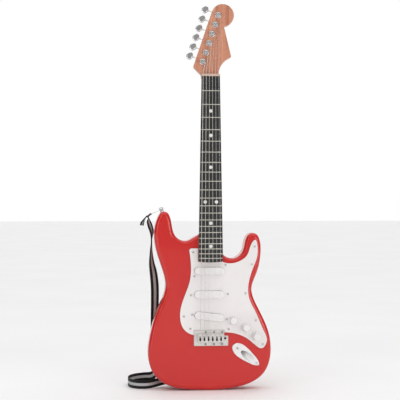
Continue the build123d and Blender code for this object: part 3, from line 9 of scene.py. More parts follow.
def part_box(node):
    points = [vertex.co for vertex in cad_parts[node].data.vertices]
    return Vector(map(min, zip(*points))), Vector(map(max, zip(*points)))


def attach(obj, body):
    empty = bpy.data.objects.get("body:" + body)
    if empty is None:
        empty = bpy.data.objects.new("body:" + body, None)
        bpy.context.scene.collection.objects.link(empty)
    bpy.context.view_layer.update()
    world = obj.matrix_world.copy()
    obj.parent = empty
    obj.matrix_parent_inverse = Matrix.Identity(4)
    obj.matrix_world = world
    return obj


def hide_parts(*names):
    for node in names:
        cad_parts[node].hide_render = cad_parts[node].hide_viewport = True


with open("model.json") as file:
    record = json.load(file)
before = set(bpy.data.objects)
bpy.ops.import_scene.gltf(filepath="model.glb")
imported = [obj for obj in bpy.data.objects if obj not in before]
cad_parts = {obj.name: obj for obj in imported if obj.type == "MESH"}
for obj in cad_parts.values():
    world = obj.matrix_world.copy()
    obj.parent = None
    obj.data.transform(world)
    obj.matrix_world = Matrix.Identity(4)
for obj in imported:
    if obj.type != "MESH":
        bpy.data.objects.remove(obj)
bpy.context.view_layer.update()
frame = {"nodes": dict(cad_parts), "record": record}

# Toy electric guitar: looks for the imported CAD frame. Metres, +Z up the neck, -Y out of the playing face.

ROOT = "instrument"
MM = 0.001
NODES = frame["nodes"]

# ---------------------------------------------------------------- node material helpers


class Shader:
    """A material under construction: its node tree and its Principled shader."""

    def __init__(self, name):
        self.material = bpy.data.materials.new(name)
        self.material.use_nodes = True
        self.tree = self.material.node_tree
        self.tree.nodes.clear()
        self.output = self.tree.nodes.new("ShaderNodeOutputMaterial")
        self.bsdf = self.tree.nodes.new("ShaderNodeBsdfPrincipled")
        self.link(self.bsdf.outputs["BSDF"], self.output.inputs["Surface"])
        self.place = self.tree.nodes.new("ShaderNodeTexCoord").outputs["Object"]

    def link(self, source, target):
        self.tree.links.new(source, target)

    def put(self, socket, value):
        """Links a node's output to a socket, or sets the socket to a constant."""
        if isinstance(value, bpy.types.NodeSocket):
            self.link(value, socket)
        else:
            socket.default_value = value

    def set(self, **values):
        """Sets sockets of the Principled shader; an underscore stands for a space."""
        for name, value in values.items():
            self.put(self.bsdf.inputs[name.replace("_", " ")], value)
        return self

    def mapped(self, scale, source=None):
        """Coordinates stretched along each axis."""
        node = self.tree.nodes.new("ShaderNodeMapping")
        self.put(node.inputs["Vector"], source or self.place)
        node.inputs["Scale"].default_value = scale
        return node.outputs["Vector"]

    def noise(self, scale, detail=2.0, roughness=0.5, stretch=(1, 1, 1), distortion=0.0):
        node = self.tree.nodes.new("ShaderNodeTexNoise")
        self.put(node.inputs["Vector"], self.mapped(stretch))
        node.inputs["Scale"].default_value = scale
        node.inputs["Detail"].default_value = detail
        node.inputs["Roughness"].default_value = roughness
        node.inputs["Distortion"].default_value = distortion
        return node.outputs["Fac"]

    def waves(self, scale, direction="Z", distortion=0.0, detail=1.0, stretch=(1, 1, 1)):
        node = self.tree.nodes.new("ShaderNodeTexWave")
        node.wave_type = "BANDS"
        node.bands_direction = direction
        self.put(node.inputs["Vector"], self.mapped(stretch))
        node.inputs["Scale"].default_value = scale
        node.inputs["Distortion"].default_value = distortion
        node.inputs["Detail"].default_value = detail
        return node.outputs["Fac"]

    def ramp(self, factor, *stops):
        """Colour ramp from (position, colour) pairs."""
        node = self.tree.nodes.new("ShaderNodeValToRGB")
        elements = node.color_ramp.elements
        while len(elements) < len(stops):
            elements.new(0.5)
        for element, (position, colour) in zip(elements, stops):
            element.position = position
            element.color = (*colour, 1.0)
        self.put(node.inputs["Fac"], factor)
        return node.outputs["Color"]

    def span(self, value, low, high, to_low=0.0, to_high=1.0):
        """Maps a value from one range to another, clamped."""
        node = self.tree.nodes.new("ShaderNodeMapRange")
        self.put(node.inputs["Value"], value)
        for name, number in (("From Min", low), ("From Max", high), ("To Min", to_low), ("To Max", to_high)):
            node.inputs[name].default_value = number
        return node.outputs["Result"]

    def math(self, operation, first, second=0.0):
        node = self.tree.nodes.new("ShaderNodeMath")
        node.operation = operation
        self.put(node.inputs[0], first)
        self.put(node.inputs[1], second)
        return node.outputs["Value"]

    def mix(self, factor, first, second):
        """Blend of two colours."""
        node = self.tree.nodes.new("ShaderNodeMix")
        node.data_type = "RGBA"
        self.put(node.inputs["Factor"], factor)
        for name, value in (("A", first), ("B", second)):
            socket = [s for s in node.inputs if s.name == name and s.type == "RGBA"][0]
            self.put(socket, (*value, 1.0) if isinstance(value, tuple) and len(value) == 3 else value)
        return [s for s in node.outputs if s.type == "RGBA"][0]

    def axis(self, name, source=None):
        """One coordinate of the surface point."""
        node = self.tree.nodes.new("ShaderNodeSeparateXYZ")
        self.put(node.inputs["Vector"], source or self.place)
        return node.outputs[name]

    def bump(self, height, strength, distance=0.0005, under=None):
        node = self.tree.nodes.new("ShaderNodeBump")
        self.put(node.inputs["Height"], height)
        node.inputs["Strength"].default_value = strength
        node.inputs["Distance"].default_value = distance
        if under is not None:
            self.put(node.inputs["Normal"], under)
        return node.outputs["Normal"]

    def soft_edges(self, radius):
        """Normal that rounds sharp edges."""
        node = self.tree.nodes.new("ShaderNodeBevel")
        node.samples = 4
        node.inputs["Radius"].default_value = radius
        return node.outputs["Normal"]

    def near(self, value, centre, half_width, fade):
        """1 within half_width of centre, falling to 0 over fade."""
        distance = self.math("ABSOLUTE", self.math("SUBTRACT", value, centre))
        return self.span(distance, half_width, half_width + fade, 1.0, 0.0)


def moulded(name, dark, light, roughness, grain, coat=0.0, edge=0.0004):
    """Injection-moulded plastic: slow colour drift, fine surface texture and uneven gloss."""
    s = Shader(name)
    drift = s.noise(14.0, detail=3.0)
    s.set(Base_Color=s.ramp(drift, (0.3, dark), (0.7, light)))
    s.set(Roughness=s.span(s.noise(55.0, detail=4.0), 0.3, 0.7, roughness * 0.8, roughness * 1.25))
    s.set(Coat_Weight=coat, Coat_Roughness=0.06, IOR=1.49)
    s.set(Normal=s.bump(s.noise(grain, detail=2.0), 0.06, 0.0002, s.soft_edges(edge)))
    return s


def plated(name, colour, roughness, grain=240.0, strength=0.05):
    """Plated or polished metal with faint wear in its gloss."""
    s = Shader(name)
    wear = s.noise(90.0, detail=5.0, roughness=0.6)
    shade = tuple(0.86 * channel for channel in colour)
    s.set(Base_Color=s.ramp(wear, (0.35, shade), (0.65, colour)), Metallic=1.0)
    s.set(Roughness=s.span(wear, 0.3, 0.75, roughness * 0.7, roughness * 1.6))
    s.set(Normal=s.bump(s.noise(grain, detail=3.0), strength, 0.0002, s.soft_edges(0.0003)))
    return s


# ---------------------------------------------------------------- materials

# Front face of the bridge, and the area of it that holds the slots and the arm hole.
BRIDGE_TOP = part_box("bridge_base")[0].y
SLOT_AREA_LOW, SLOT_AREA_HIGH = 0.0859, 0.0963
SLOT_AREA_HALF = 0.0206
MASK_FADE = 0.0001
# Depths below the front face at which the painted shade in the slots begins and is full.
SLOT_SHADE_START, SLOT_SHADE_FULL = 0.0003, 0.0007

# Half thickness of the joint line between the shells, and where its edge fades.
SEAM_HALF, SEAM_FADE = 0.00018, 0.0002

# Webbing: pitch of the weft, ribs across the width, and half of the grey stripe as a share of the width.
WEFT_PITCH = 1.1 * MM
WARP_COUNT = 22
STRIPE_HALF_SHARE = 0.15


def red_body():
    """Glossy red shell, with the joint between its halves as a fine dark line."""
    s = Shader("red_gloss_shell")
    drift = s.noise(7.0, detail=3.0)
    red = s.ramp(drift, (0.3, (0.560, 0.0150, 0.0120)), (0.7, (0.605, 0.0190, 0.0150)))
    seam = s.near(s.axis("Y"), 0.0, SEAM_HALF, SEAM_FADE)
    s.set(Base_Color=s.mix(seam, red, (0.16, 0.005, 0.005)))
    s.set(Roughness=s.span(s.noise(40.0, detail=4.0), 0.3, 0.7, 0.14, 0.22), Specular_IOR_Level=0.35)
    s.set(Coat_Weight=0.4, Coat_Roughness=0.04, IOR=1.5)
    peel = s.noise(650.0, detail=2.0)
    dents = s.math("SUBTRACT", s.math("MULTIPLY", peel, 0.25), seam)
    s.set(Normal=s.bump(dents, 0.12, 0.0002, s.soft_edges(0.0004)))
    return s


def white_sheet():
    """Glossy single-ply white sheet of the pickguard, faintly warm."""
    return moulded("white_guard_sheet", (0.80, 0.765, 0.755), (0.86, 0.83, 0.82), 0.22, 420.0, coat=0.5)


def white_cap():
    """Moulded white of the pickup covers and knobs, with slight depth."""
    s = moulded("white_moulded_cap", (0.80, 0.775, 0.765), (0.87, 0.85, 0.845), 0.26, 520.0, coat=0.4)
    s.set(Subsurface_Weight=0.08, Subsurface_Radius=(0.002, 0.0016, 0.0014), Subsurface_Scale=0.4)
    return s


def bridge_plastic():
    """Pale silvered plastic, with painted shade: near black wherever its slot area lies below the front face.
    """
    s = Shader("pale_bridge_plastic")
    drift = s.noise(70.0, detail=4.0)
    pale = s.ramp(drift, (0.3, (0.60, 0.575, 0.55)), (0.7, (0.74, 0.715, 0.69)))
    depth = s.span(s.axis("Y"), BRIDGE_TOP + SLOT_SHADE_START, BRIDGE_TOP + SLOT_SHADE_FULL)
    above = s.span(s.axis("Z"), SLOT_AREA_LOW, SLOT_AREA_LOW + MASK_FADE)
    below = s.span(s.axis("Z"), SLOT_AREA_HIGH, SLOT_AREA_HIGH - MASK_FADE)
    shaded_slot_area = s.math("MULTIPLY", above, below)
    shaded_slot_area = s.math("MULTIPLY", shaded_slot_area, s.span(s.axis("X"), -SLOT_AREA_HALF, -SLOT_AREA_HALF + MASK_FADE))
    shaded_slot_area = s.math("MULTIPLY", shaded_slot_area, s.span(s.axis("X"), SLOT_AREA_HALF, SLOT_AREA_HALF - MASK_FADE))
    depth = s.math("MULTIPLY", depth, shaded_slot_area)
    # Painted shade: the slots and the arm hole, below the front face, are coloured near black.
    s.set(Base_Color=s.mix(depth, pale, (0.012, 0.011, 0.011)))
    s.set(Metallic=0.25, Roughness=s.span(drift, 0.3, 0.7, 0.24, 0.4))
    s.set(Normal=s.bump(s.noise(900.0), 0.08, 0.0002, s.soft_edges(0.0004)))
    return s


def bright_cup():
    """Bright, partly metallic finish of the jack plate."""
    s = plated("bright_jack_cup", (0.93, 0.925, 0.92), 0.2)
    s.set(Metallic=0.25)
    return s


def headstock_wood():
    """Reddish lacquered wood with its grain along the neck."""
    s = Shader("reddish_neck_wood")
    broad = s.noise(1.0, detail=3.0, stretch=(150, 150, 4.5), distortion=0.4)
    fine = s.noise(1.0, detail=6.0, roughness=0.65, stretch=(900, 900, 14))
    grain = s.math("ADD", s.math("MULTIPLY", broad, 0.7), s.math("MULTIPLY", fine, 0.3))
    colour = s.ramp(
        grain,
        (0.36, (0.42, 0.150, 0.090)),
        (0.46, (0.56, 0.225, 0.135)),
        (0.56, (0.63, 0.275, 0.165)),
        (0.68, (0.70, 0.345, 0.215)),
    )
    s.set(Base_Color=colour, Roughness=s.span(fine, 0.3, 0.7, 0.34, 0.5))
    s.set(Coat_Weight=0.35, Coat_Roughness=0.15)
    s.set(Normal=s.bump(fine, 0.10, 0.0003, s.soft_edges(0.0005)))
    return s


def black_board():
    """Satin black fretboard with faint lengthwise streaks: in its colour they are painted shadows of the
    strings, and they also vary its gloss and bumps.
    """
    s = Shader("satin_black_board")
    streak = s.noise(1.0, detail=5.0, stretch=(700, 700, 9))
    s.set(Base_Color=s.ramp(streak, (0.35, (0.010, 0.010, 0.010)), (0.7, (0.030, 0.028, 0.026))))
    s.set(Roughness=s.span(streak, 0.3, 0.7, 0.32, 0.5))
    s.set(Normal=s.bump(streak, 0.12, 0.0002, s.soft_edges(0.0004)))
    return s


def string_metal():
    """Steel strings; the three on the bass side are wound, so their surface is ribbed. Their ends below the
    top of the bridge slots are painted near black as shade.
    """
    s = Shader("string_steel")
    ribs = s.waves(520.0, "Z")
    wound = s.span(s.axis("X"), -0.0005, 0.0002, 1.0, 0.0)
    steel = s.mix(wound, (0.78, 0.78, 0.77), (0.70, 0.68, 0.64))
    # Painted shade: string ends down in the bridge slots are coloured near black.
    painted_slot_shade = s.span(s.axis("Z"), 0.0925, 0.0945, 1.0, 0.0)
    s.set(Base_Color=s.mix(painted_slot_shade, steel, (0.01, 0.01, 0.01)), Metallic=0.7)
    s.set(Roughness=s.span(s.noise(300.0), 0.3, 0.7, 0.26, 0.42))
    s.set(Normal=s.bump(s.math("MULTIPLY", ribs, wound), 0.6, 0.0003))
    return s


def coil_winding():
    """Varnished copper wire, wound round each bobbin."""
    s = Shader("copper_winding")
    turns = s.waves(900.0, "Y", distortion=0.6)
    s.set(Base_Color=s.ramp(turns, (0.2, (0.22, 0.07, 0.02)), (0.8, (0.60, 0.26, 0.09))))
    s.set(Metallic=0.7, Roughness=0.38, Normal=s.bump(turns, 0.5, 0.0002))
    return s


def circuit_board():
    """Green solder mask with brighter tracks; parts on its front are black."""
    s = Shader("green_circuit")
    tracks = s.waves(150.0, "X", distortion=3.0, detail=2.0)
    green = s.ramp(tracks, (0.45, (0.008, 0.085, 0.035)), (0.55, (0.02, 0.20, 0.075)))
    parts = s.span(s.axis("Y"), 0.0078, 0.0080, 1.0, 0.0)
    s.set(Base_Color=s.mix(parts, green, (0.02, 0.02, 0.022)))
    s.set(Roughness=0.42, Normal=s.bump(tracks, 0.2, 0.0001))
    return s


def cell_sleeve():
    """Film sleeve of a dry cell: dark, with a copper-coloured band at one end."""
    s = Shader("cell_sleeve")
    band = s.span(s.axis("X"), 0.0135, 0.0137)
    s.set(Base_Color=s.mix(band, (0.018, 0.018, 0.022), (0.55, 0.24, 0.07)))
    s.set(Metallic=0.35, Roughness=s.span(s.noise(120.0), 0.3, 0.7, 0.22, 0.34), Normal=s.soft_edges(0.0006))
    return s


def cone_paper():
    """Pressed black paper with fine rings of fibre."""
    s = Shader("cone_paper")
    fibre = s.noise(700.0, detail=5.0, roughness=0.7)
    s.set(Base_Color=s.ramp(fibre, (0.3, (0.012, 0.012, 0.013)), (0.7, (0.045, 0.044, 0.042))))
    s.set(Roughness=0.86, Normal=s.bump(fibre, 0.45, 0.0003))
    return s


def lead_sleeve():
    """Soft insulation of the inner leads: red, black and yellow by where they run."""
    s = Shader("lead_sleeve")
    share = s.span(s.axis("Z"), 0.06, 0.2)
    red, black, yellow = (0.45, 0.02, 0.015), (0.02, 0.02, 0.02), (0.55, 0.36, 0.03)
    s.set(Base_Color=s.ramp(share, (0.3, red), (0.32, black), (0.7, yellow)))
    s.set(Roughness=0.45, Normal=s.bump(s.noise(500.0), 0.1, 0.0002))
    return s


def clear_loop():
    """Cloudy translucent plastic of the strap's end loops."""
    s = Shader("cloudy_clear_loop")
    cloud = s.noise(260.0, detail=3.0)
    s.set(Base_Color=s.ramp(cloud, (0.3, (0.80, 0.81, 0.82)), (0.7, (0.93, 0.93, 0.93))))
    s.set(Roughness=0.25, Transmission_Weight=0.55, IOR=1.46)
    s.set(Normal=s.bump(cloud, 0.1, 0.0002))
    return s


def webbing():
    """Flat-woven strap: black borders, light grey middle, ribs along and across."""
    s = Shader("striped_webbing")
    uv = s.tree.nodes.new("ShaderNodeUVMap").outputs["UV"]
    across, along = s.axis("X", uv), s.axis("Y", uv)
    stripe = s.near(across, 0.5, STRIPE_HALF_SHARE, 0.02)
    thread = s.tree.nodes.new("ShaderNodeTexNoise")
    s.put(thread.inputs["Vector"], s.mapped((60, 9000, 1), uv))
    thread.inputs["Scale"].default_value = 1.0
    thread.inputs["Detail"].default_value = 3.0
    fuzz = thread.outputs["Fac"]
    black = s.ramp(fuzz, (0.3, (0.003, 0.003, 0.0035)), (0.75, (0.016, 0.016, 0.017)))
    grey = s.ramp(fuzz, (0.3, (0.30, 0.31, 0.31)), (0.75, (0.72, 0.73, 0.73)))
    s.set(Base_Color=s.mix(stripe, black, grey), Roughness=0.82, Specular_IOR_Level=0.2)
    s.set(Sheen_Weight=0.1, Sheen_Roughness=0.5)
    weft = s.math("SINE", s.math("MULTIPLY", along, 2 * math.pi / WEFT_PITCH))
    warp = s.math("SINE", s.math("MULTIPLY", across, 2 * math.pi * WARP_COUNT))
    weave = s.math("MULTIPLY", weft, warp)
    height = s.math("ADD", s.math("MULTIPLY", weave, 0.5), s.math("MULTIPLY", fuzz, 0.35))
    s.set(Normal=s.bump(height, 0.7, 0.0003))
    return s


def build_materials():
    """One material for each of the record's slots, and the ones used by added pieces."""
    return {
        "body_red": red_body(),
        "white_plastic": white_sheet(),
        "cover_white": white_cap(),
        "bridge_white": bridge_plastic(),
        "jack_white": bright_cup(),
        "neck_wood": headstock_wood(),
        "fretboard_black": black_board(),
        "string_steel": string_metal(),
        "coil_copper": coil_winding(),
        "circuit_green": circuit_board(),
        "cell_jacket": cell_sleeve(),
        "cone_paper": cone_paper(),
        "wire_sleeve": lead_sleeve(),
        "clear_plastic": clear_loop(),
        "strap_webbing": webbing(),
        "chrome": plated("bright_chrome", (0.86, 0.86, 0.87), 0.09),
        "screw_steel": plated("nickel_screw", (0.62, 0.61, 0.60), 0.28),
        "screw_dark": plated("dull_screw", (0.36, 0.35, 0.34), 0.38),
        "plated_steel": plated("zinc_steel", (0.66, 0.66, 0.62), 0.34, grain=500.0),
        "fret_steel": plated("nickel_silver_fret", (0.66, 0.64, 0.56), 0.24),
        "socket_black": moulded("black_socket", (0.014, 0.014, 0.014), (0.03, 0.03, 0.03), 0.4, 600.0),
        "marker_white": moulded(
            "white_inlay", (0.80, 0.79, 0.74), (0.88, 0.87, 0.83), 0.2, 500.0, coat=0.6, edge=0.0001
        ),
        "nut_bone": moulded("pale_nut", (0.60, 0.42, 0.34), (0.72, 0.55, 0.46), 0.36, 500.0),
        "strap_black": moulded("black_ring", (0.010, 0.010, 0.010), (0.028, 0.028, 0.028), 0.3, 480.0),
    }


MATERIALS = build_materials()


def dress_nodes():
    """Gives every CAD node the material of its slot."""
    for part in frame["record"]["subparts"]:
        obj = NODES[part["node"]]
        obj.data.materials.clear()
        obj.data.materials.append(MATERIALS[part["material_slot"]].material)


# ---------------------------------------------------------------- added pieces


def new_mesh(name, build, slot):
    """Object from a bmesh, riding on the instrument with a slot's material."""
    mesh = bpy.data.meshes.new(name)
    bm = bmesh.new()
    build(bm)
    bm.normal_update()
    bm.to_mesh(mesh)
    bm.free()
    for face in mesh.polygons:
        face.use_smooth = True
    obj = bpy.data.objects.new(name, mesh)
    bpy.context.scene.collection.objects.link(obj)
    mesh.materials.append(MATERIALS[slot].material)
    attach(obj, ROOT)
    return obj


# Route of the webbing, both ends folded round their rings: a point on its centre line in millimetres, and
# the direction of its width.
STRAP_WIDTH = 15.0
STRAP_THICK = 1.5
STEPS_PER_SPAN = 8
STRAP_ROUTE = [
    ((-118.6, -6.5, 286.6), (0.45, 0.9, 0.1)),
    ((-117.4, -6.5, 291.4), (0.45, 0.9, 0.1)),
    ((-114.7, -6.6, 296.4), (0.3, 0.95, 0.1)),
    ((-112.2, -6.8, 300.2), (0.1, 1.0, 0.0)),
    ((-110.7, -7.0, 302.5), (0.0, 1.0, 0.0)),
    ((-109.0, -7.0, 303.2), (0.0, 1.0, 0.0)),
    ((-107.3, -7.0, 302.0), (0.0, 1.0, 0.0)),
    ((-107.0, -6.6, 299.2), (0.1, 1.0, 0.0)),
    ((-106.8, -5.8, 294.4), (0.4, 0.9, 0.15)),
    ((-104.0, -4.8, 286.0), (0.55, 0.85, 0.25)),
    ((-100.8, -3.0, 275.0), (0.45, 0.9, 0.15)),
    ((-101.2, 0.0, 261.0), (0.1, 1.0, 0.0)),
    ((-101.8, 6.0, 240.0), (0.3, 1.0, 0.0)),
    ((-100.6, 13.0, 220.0), (0.6, 0.8, 0.0)),
    ((-97.0, 20.0, 201.0), (0.85, 0.5, 0.0)),
    ((-94.6, 26.0, 180.0), (0.95, 0.3, 0.0)),
    ((-94.0, 31.0, 157.0), (0.95, 0.3, 0.0)),
    ((-94.4, 36.0, 131.0), (0.9, 0.4, 0.1)),
    ((-95.6, 43.0, 100.0), (0.7, 0.6, 0.3)),
    ((-95.0, 52.0, 70.0), (0.45, 0.8, 0.6)),
    ((-91.0, 64.0, 42.0), (0.2, 0.6, 1.1)),
    ((-90.0, 77.0, 20.0), (0.1, 0.25, 1.3)),
    ((-97.0, 85.0, 9.5), (0.0, 0.05, 1.0)),
    ((-112.0, 86.0, 8.0), (0.0, 0.0, 1.0)),
    ((-128.0, 77.0, 7.8), (0.0, 0.0, 1.0)),
    ((-138.5, 60.0, 7.8), (0.0, 0.0, 1.0)),
    ((-141.0, 40.0, 7.8), (0.0, 0.0, 1.0)),
    ((-137.0, 20.0, 7.8), (0.0, 0.0, 1.0)),
    ((-125.0, 7.0, 7.8), (0.0, 0.0, 1.0)),
    ((-109.0, 5.5, 7.8), (0.0, 0.0, 1.0)),
    ((-95.0, 14.0, 8.6), (0.0, 0.0, 1.0)),
    ((-80.0, 24.5, 10.5), (0.0, 0.0, 1.0)),
    ((-62.0, 29.5, 13.5), (0.0, 0.0, 1.0)),
    ((-44.0, 29.8, 17.0), (-0.1, 0.0, 1.0)),
    ((-28.6, 27.2, 20.6), (-0.05, 0.0, 1.0)),
    ((-25.4, 26.6, 21.6), (0.0, 0.0, 1.0)),
    ((-23.4, 26.4, 22.0), (0.0, 0.0, 1.0)),
    ((-21.8, 25.0, 22.0), (0.0, 0.0, 1.0)),
    ((-22.2, 22.8, 22.0), (0.0, 0.0, 1.0)),
    ((-24.6, 22.0, 21.9), (0.0, 0.0, 1.0)),
    ((-31.0, 22.6, 20.8), (-0.1, 0.0, 1.0)),
    ((-43.0, 24.4, 18.6), (-0.1, 0.0, 1.0)),
]


def between(points, index, share):
    """Catmull-Rom point between two neighbours of a list."""
    p0 = points[max(index - 1, 0)]
    p1 = points[index]
    p2 = points[index + 1]
    p3 = points[min(index + 2, len(points) - 1)]
    return 0.5 * (
        2 * p1 + (p2 - p0) * share + (2 * p0 - 5 * p1 + 4 * p2 - p3) * share ** 2
        + (3 * p1 - p0 - 3 * p2 + p3) * share ** 3
    )


def smooth_route(route, steps):
    """Stations on a smooth curve through a route: (place, along, across), in metres."""
    points = [Vector(point) * MM for point, _ in route]
    widths = [Vector(width).normalized() for _, width in route]
    places, across = [], []
    for index in range(len(points) - 1):
        for step in range(steps):
            places.append(between(points, index, step / steps))
            across.append(between(widths, index, step / steps))
    places.append(points[-1])
    across.append(widths[-1])
    stations = []
    for index, place in enumerate(places):
        along = (places[min(index + 1, len(places) - 1)] - places[max(index - 1, 0)]).normalized()
        side = (across[index] - along * across[index].dot(along)).normalized()
        stations.append((place, along, side))
    return stations


def band_profile(width, thick):
    """Section of flat webbing: (across, through, share of the width), with rounded selvedges."""
    half = width / 2
    rim = thick / 2
    rows = 10
    face = [(-half + rim + (width - 2 * rim) * i / rows, rim) for i in range(rows + 1)]
    rounding = [math.radians(degrees) for degrees in (45, 0, -45)]
    right = [(half - rim + rim * math.cos(a), rim * math.sin(a)) for a in rounding]
    back = [(x, -y) for x, y in reversed(face)]
    left = [(-x, -y) for x, y in right]
    return [(x, y, (x + half) / width) for x, y in face + right + back + left]


def band(bm, stations, width, thick):
    """Webbing along stations; returns its length."""
    profile = band_profile(width, thick)
    uv = bm.loops.layers.uv.new("UVMap")
    rings, lengths = [], [0.0]
    for index, (place, along, side) in enumerate(stations):
        out = along.cross(side)
        ring = []
        for across, through, _ in profile:
            ring.append(bm.verts.new(place + side * across + out * through))
        rings.append(ring)
        if index:
            lengths.append(lengths[-1] + (place - stations[index - 1][0]).length)
    count = len(profile)
    for index in range(len(rings) - 1):
        for k in range(count):
            after = (k + 1) % count
            lower, upper = rings[index], rings[index + 1]
            face = bm.faces.new((lower[k], lower[after], upper[after], upper[k]))
            corners = ((k, index), (after, index), (after, index + 1), (k, index + 1))
            for loop, (column, row) in zip(face.loops, corners):
                loop[uv].uv = (profile[column][2], lengths[row])
    bm.faces.new(list(reversed(rings[0])))
    bm.faces.new(rings[-1])
    return lengths[-1]


def strap():
    """The long woven band, in place of its plain CAD ribbon, and its length."""
    stations = smooth_route(STRAP_ROUTE, STEPS_PER_SPAN)
    width, thick = STRAP_WIDTH * MM, STRAP_THICK * MM
    measured = []
    obj = new_mesh("strap_band", lambda bm: measured.append(band(bm, stations, width, thick)), "strap_webbing")
    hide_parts("strap_webbing")
    return obj, measured[0]


def dress_strap():
    band_obj, length = strap()


# Post places (x, z) and string radii in millimetres, bass to treble.
POSTS = [(-13.4, 570.4), (-7.8, 586.4), (-2.5, 602.8), (2.8, 619.0), (8.1, 635.3), (13.5, 651.6)]
STRING_R = [0.5, 0.42, 0.34, 0.25, 0.2, 0.16]
WIND_CLEAR = 3.2
WIND_MIDDLE = -27.0
WIND_HALF = 1.3
MOST_TURNS = 4.5
TURN_GAP = 0.12
STEPS_PER_TURN = 24


def tube(bm, places, radius, sides=8):
    """Round wire along a line of points, closed at both ends."""
    rings = []
    for index, place in enumerate(places):
        along = (places[min(index + 1, len(places) - 1)] - places[max(index - 1, 0)]).normalized()
        side = along.orthogonal().normalized() if not rings else (side - along * side.dot(along)).normalized()
        other = along.cross(side)
        turn = [2 * math.pi * k / sides for k in range(sides)]
        spokes = [(side * math.cos(a) + other * math.sin(a)) * radius for a in turn]
        rings.append([bm.verts.new(place + spoke) for spoke in spokes])
    for lower, upper in zip(rings, rings[1:]):
        for k in range(sides):
            after = (k + 1) % sides
            bm.faces.new((lower[k], lower[after], upper[after], upper[k]))
    bm.faces.new(list(reversed(rings[0])))
    bm.faces.new(rings[-1])


def winding(post, radius):
    """Points of the turns of a string round its post."""
    reach = WIND_CLEAR + radius
    turns = min(MOST_TURNS, 2 * WIND_HALF / (2 * radius + TURN_GAP))
    steps = int(turns * STEPS_PER_TURN)
    places = []
    for step in range(steps + 1):
        share = step / steps
        angle = 2 * math.pi * turns * share
        depth = WIND_MIDDLE - WIND_HALF + 2 * WIND_HALF * share
        across, up = reach * math.cos(angle), reach * math.sin(angle)
        places.append(Vector((post[0] + across, depth, post[1] + up)) * MM)
    return places


def wind_strings():
    """The turns of each string on its post."""
    for number, (post, radius) in enumerate(zip(POSTS, STRING_R), start=1):
        places = winding(post, radius)
        new_mesh(f"string_winding_{number}", lambda bm: tube(bm, places, radius * MM), "string_steel")


# ---------------------------------------------------------------- studio


KEY_POWER = 13.0
STRIP_POWER = 5.0
WALL_LIGHT = 1.0
CEILING_LIGHT = 1.3
FRONT_LIGHT = 0.35
SIDE_LIGHT = 0.12

# Where the light of the surroundings sets in along a direction, from its first to its full strength.
SURROUNDINGS = (
    ("Y", 0.80, 0.93, SIDE_LIGHT, WALL_LIGHT),
    ("Z", 0.40, 0.70, 0.0, CEILING_LIGHT),
    ("Y", -0.45, -0.80, 0.0, FRONT_LIGHT),
)

FLOOR_SIDE, FLOOR_NEAR, FLOOR_FAR = 9.0, -5.0, 14.0
LIGHT_AIM = Vector((0.0, 0.0, 0.3))


def studio():
    """Pale flat floor, two soft lights and the surroundings."""
    floor_mesh = bpy.data.meshes.new("floor")
    bm = bmesh.new()
    near_side = [(-FLOOR_SIDE, FLOOR_NEAR), (FLOOR_SIDE, FLOOR_NEAR)]
    far_side = [(FLOOR_SIDE, FLOOR_FAR), (-FLOOR_SIDE, FLOOR_FAR)]
    corners = [bm.verts.new((x, y, 0.0)) for x, y in near_side + far_side]
    bm.faces.new(corners)
    bm.to_mesh(floor_mesh)
    bm.free()
    floor = bpy.data.objects.new("floor", floor_mesh)
    bpy.context.scene.collection.objects.link(floor)
    s = Shader("pale_floor")
    pale = s.ramp(s.noise(3.0), (0.3, (0.90, 0.90, 0.90)), (0.7, (0.93, 0.93, 0.93)))
    s.set(Base_Color=pale, Roughness=0.7)
    floor_mesh.materials.append(s.material)
    surroundings()
    area_light("key", (1.3, -1.6, 0.25), (1.5, 1.0), KEY_POWER)
    area_light("strip", (-1.2, -1.2, 0.5), (0.22, 1.7), STRIP_POWER)


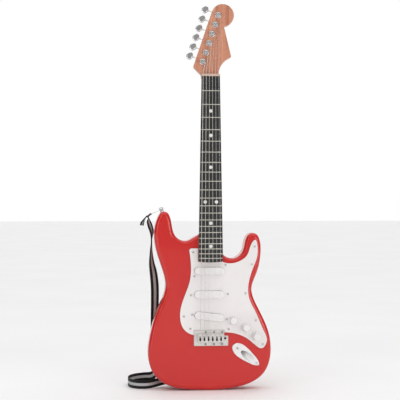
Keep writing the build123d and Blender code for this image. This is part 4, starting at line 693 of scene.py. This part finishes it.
def surroundings():
    """White wall behind, bright ceiling, dim sides and a half-lit room in front."""
    world = bpy.data.worlds.new("studio")
    world.use_nodes = True
    tree = world.node_tree
    split = tree.nodes.new("ShaderNodeSeparateXYZ")
    tree.links.new(tree.nodes.new("ShaderNodeTexCoord").outputs["Generated"], split.inputs["Vector"])
    strength = None
    for axis, low, high, dim, bright in SURROUNDINGS:
        reach = tree.nodes.new("ShaderNodeMapRange")
        tree.links.new(split.outputs[axis], reach.inputs["Value"])
        for name, number in (("From Min", low), ("From Max", high), ("To Min", dim), ("To Max", bright)):
            reach.inputs[name].default_value = number
        if strength is None:
            strength = reach.outputs["Result"]
            continue
        larger = tree.nodes.new("ShaderNodeMath")
        larger.operation = "MAXIMUM"
        tree.links.new(strength, larger.inputs[0])
        tree.links.new(reach.outputs["Result"], larger.inputs[1])
        strength = larger.outputs["Value"]
    tree.links.new(strength, tree.nodes["Background"].inputs["Strength"])
    tree.nodes["Background"].inputs["Color"].default_value = (1.0, 1.0, 1.0, 1.0)
    bpy.context.scene.world = world


def area_light(name, place, size, power):
    """Soft light of a width and height, aimed at the upper body of the guitar."""
    light = bpy.data.lights.new(name, "AREA")
    light.shape = "RECTANGLE"
    light.size, light.size_y = size
    light.energy = power
    obj = bpy.data.objects.new(name, light)
    obj.location = place
    aim = LIGHT_AIM - Vector(place)
    obj.rotation_mode = "QUATERNION"
    obj.rotation_quaternion = aim.to_track_quat("-Z", "Y")
    bpy.context.scene.collection.objects.link(obj)


CAMERA_AIM = Vector((-0.018, -0.02, 0.331))
CAMERA_TURN = -5.0
CAMERA_DISTANCE = 1.75
FRAME_HEIGHT = 0.694


def camera():
    """Long-lens camera, level with the middle of the guitar and a little to its left."""
    data = bpy.data.cameras.new("camera")
    data.sensor_width = 36.0
    data.lens = data.sensor_width * CAMERA_DISTANCE / FRAME_HEIGHT
    obj = bpy.data.objects.new("camera", data)
    turn = math.radians(CAMERA_TURN)
    back = Vector((math.sin(turn), -math.cos(turn), 0.0))
    obj.location = CAMERA_AIM + back * CAMERA_DISTANCE
    obj.rotation_mode = "QUATERNION"
    obj.rotation_quaternion = (-back).to_track_quat("-Z", "Y")
    bpy.context.scene.collection.objects.link(obj)
    bpy.context.scene.camera = obj


bpy.context.scene.view_settings.view_transform = "Standard"
camera()
dress_nodes()
dress_strap()
wind_strings()
studio()
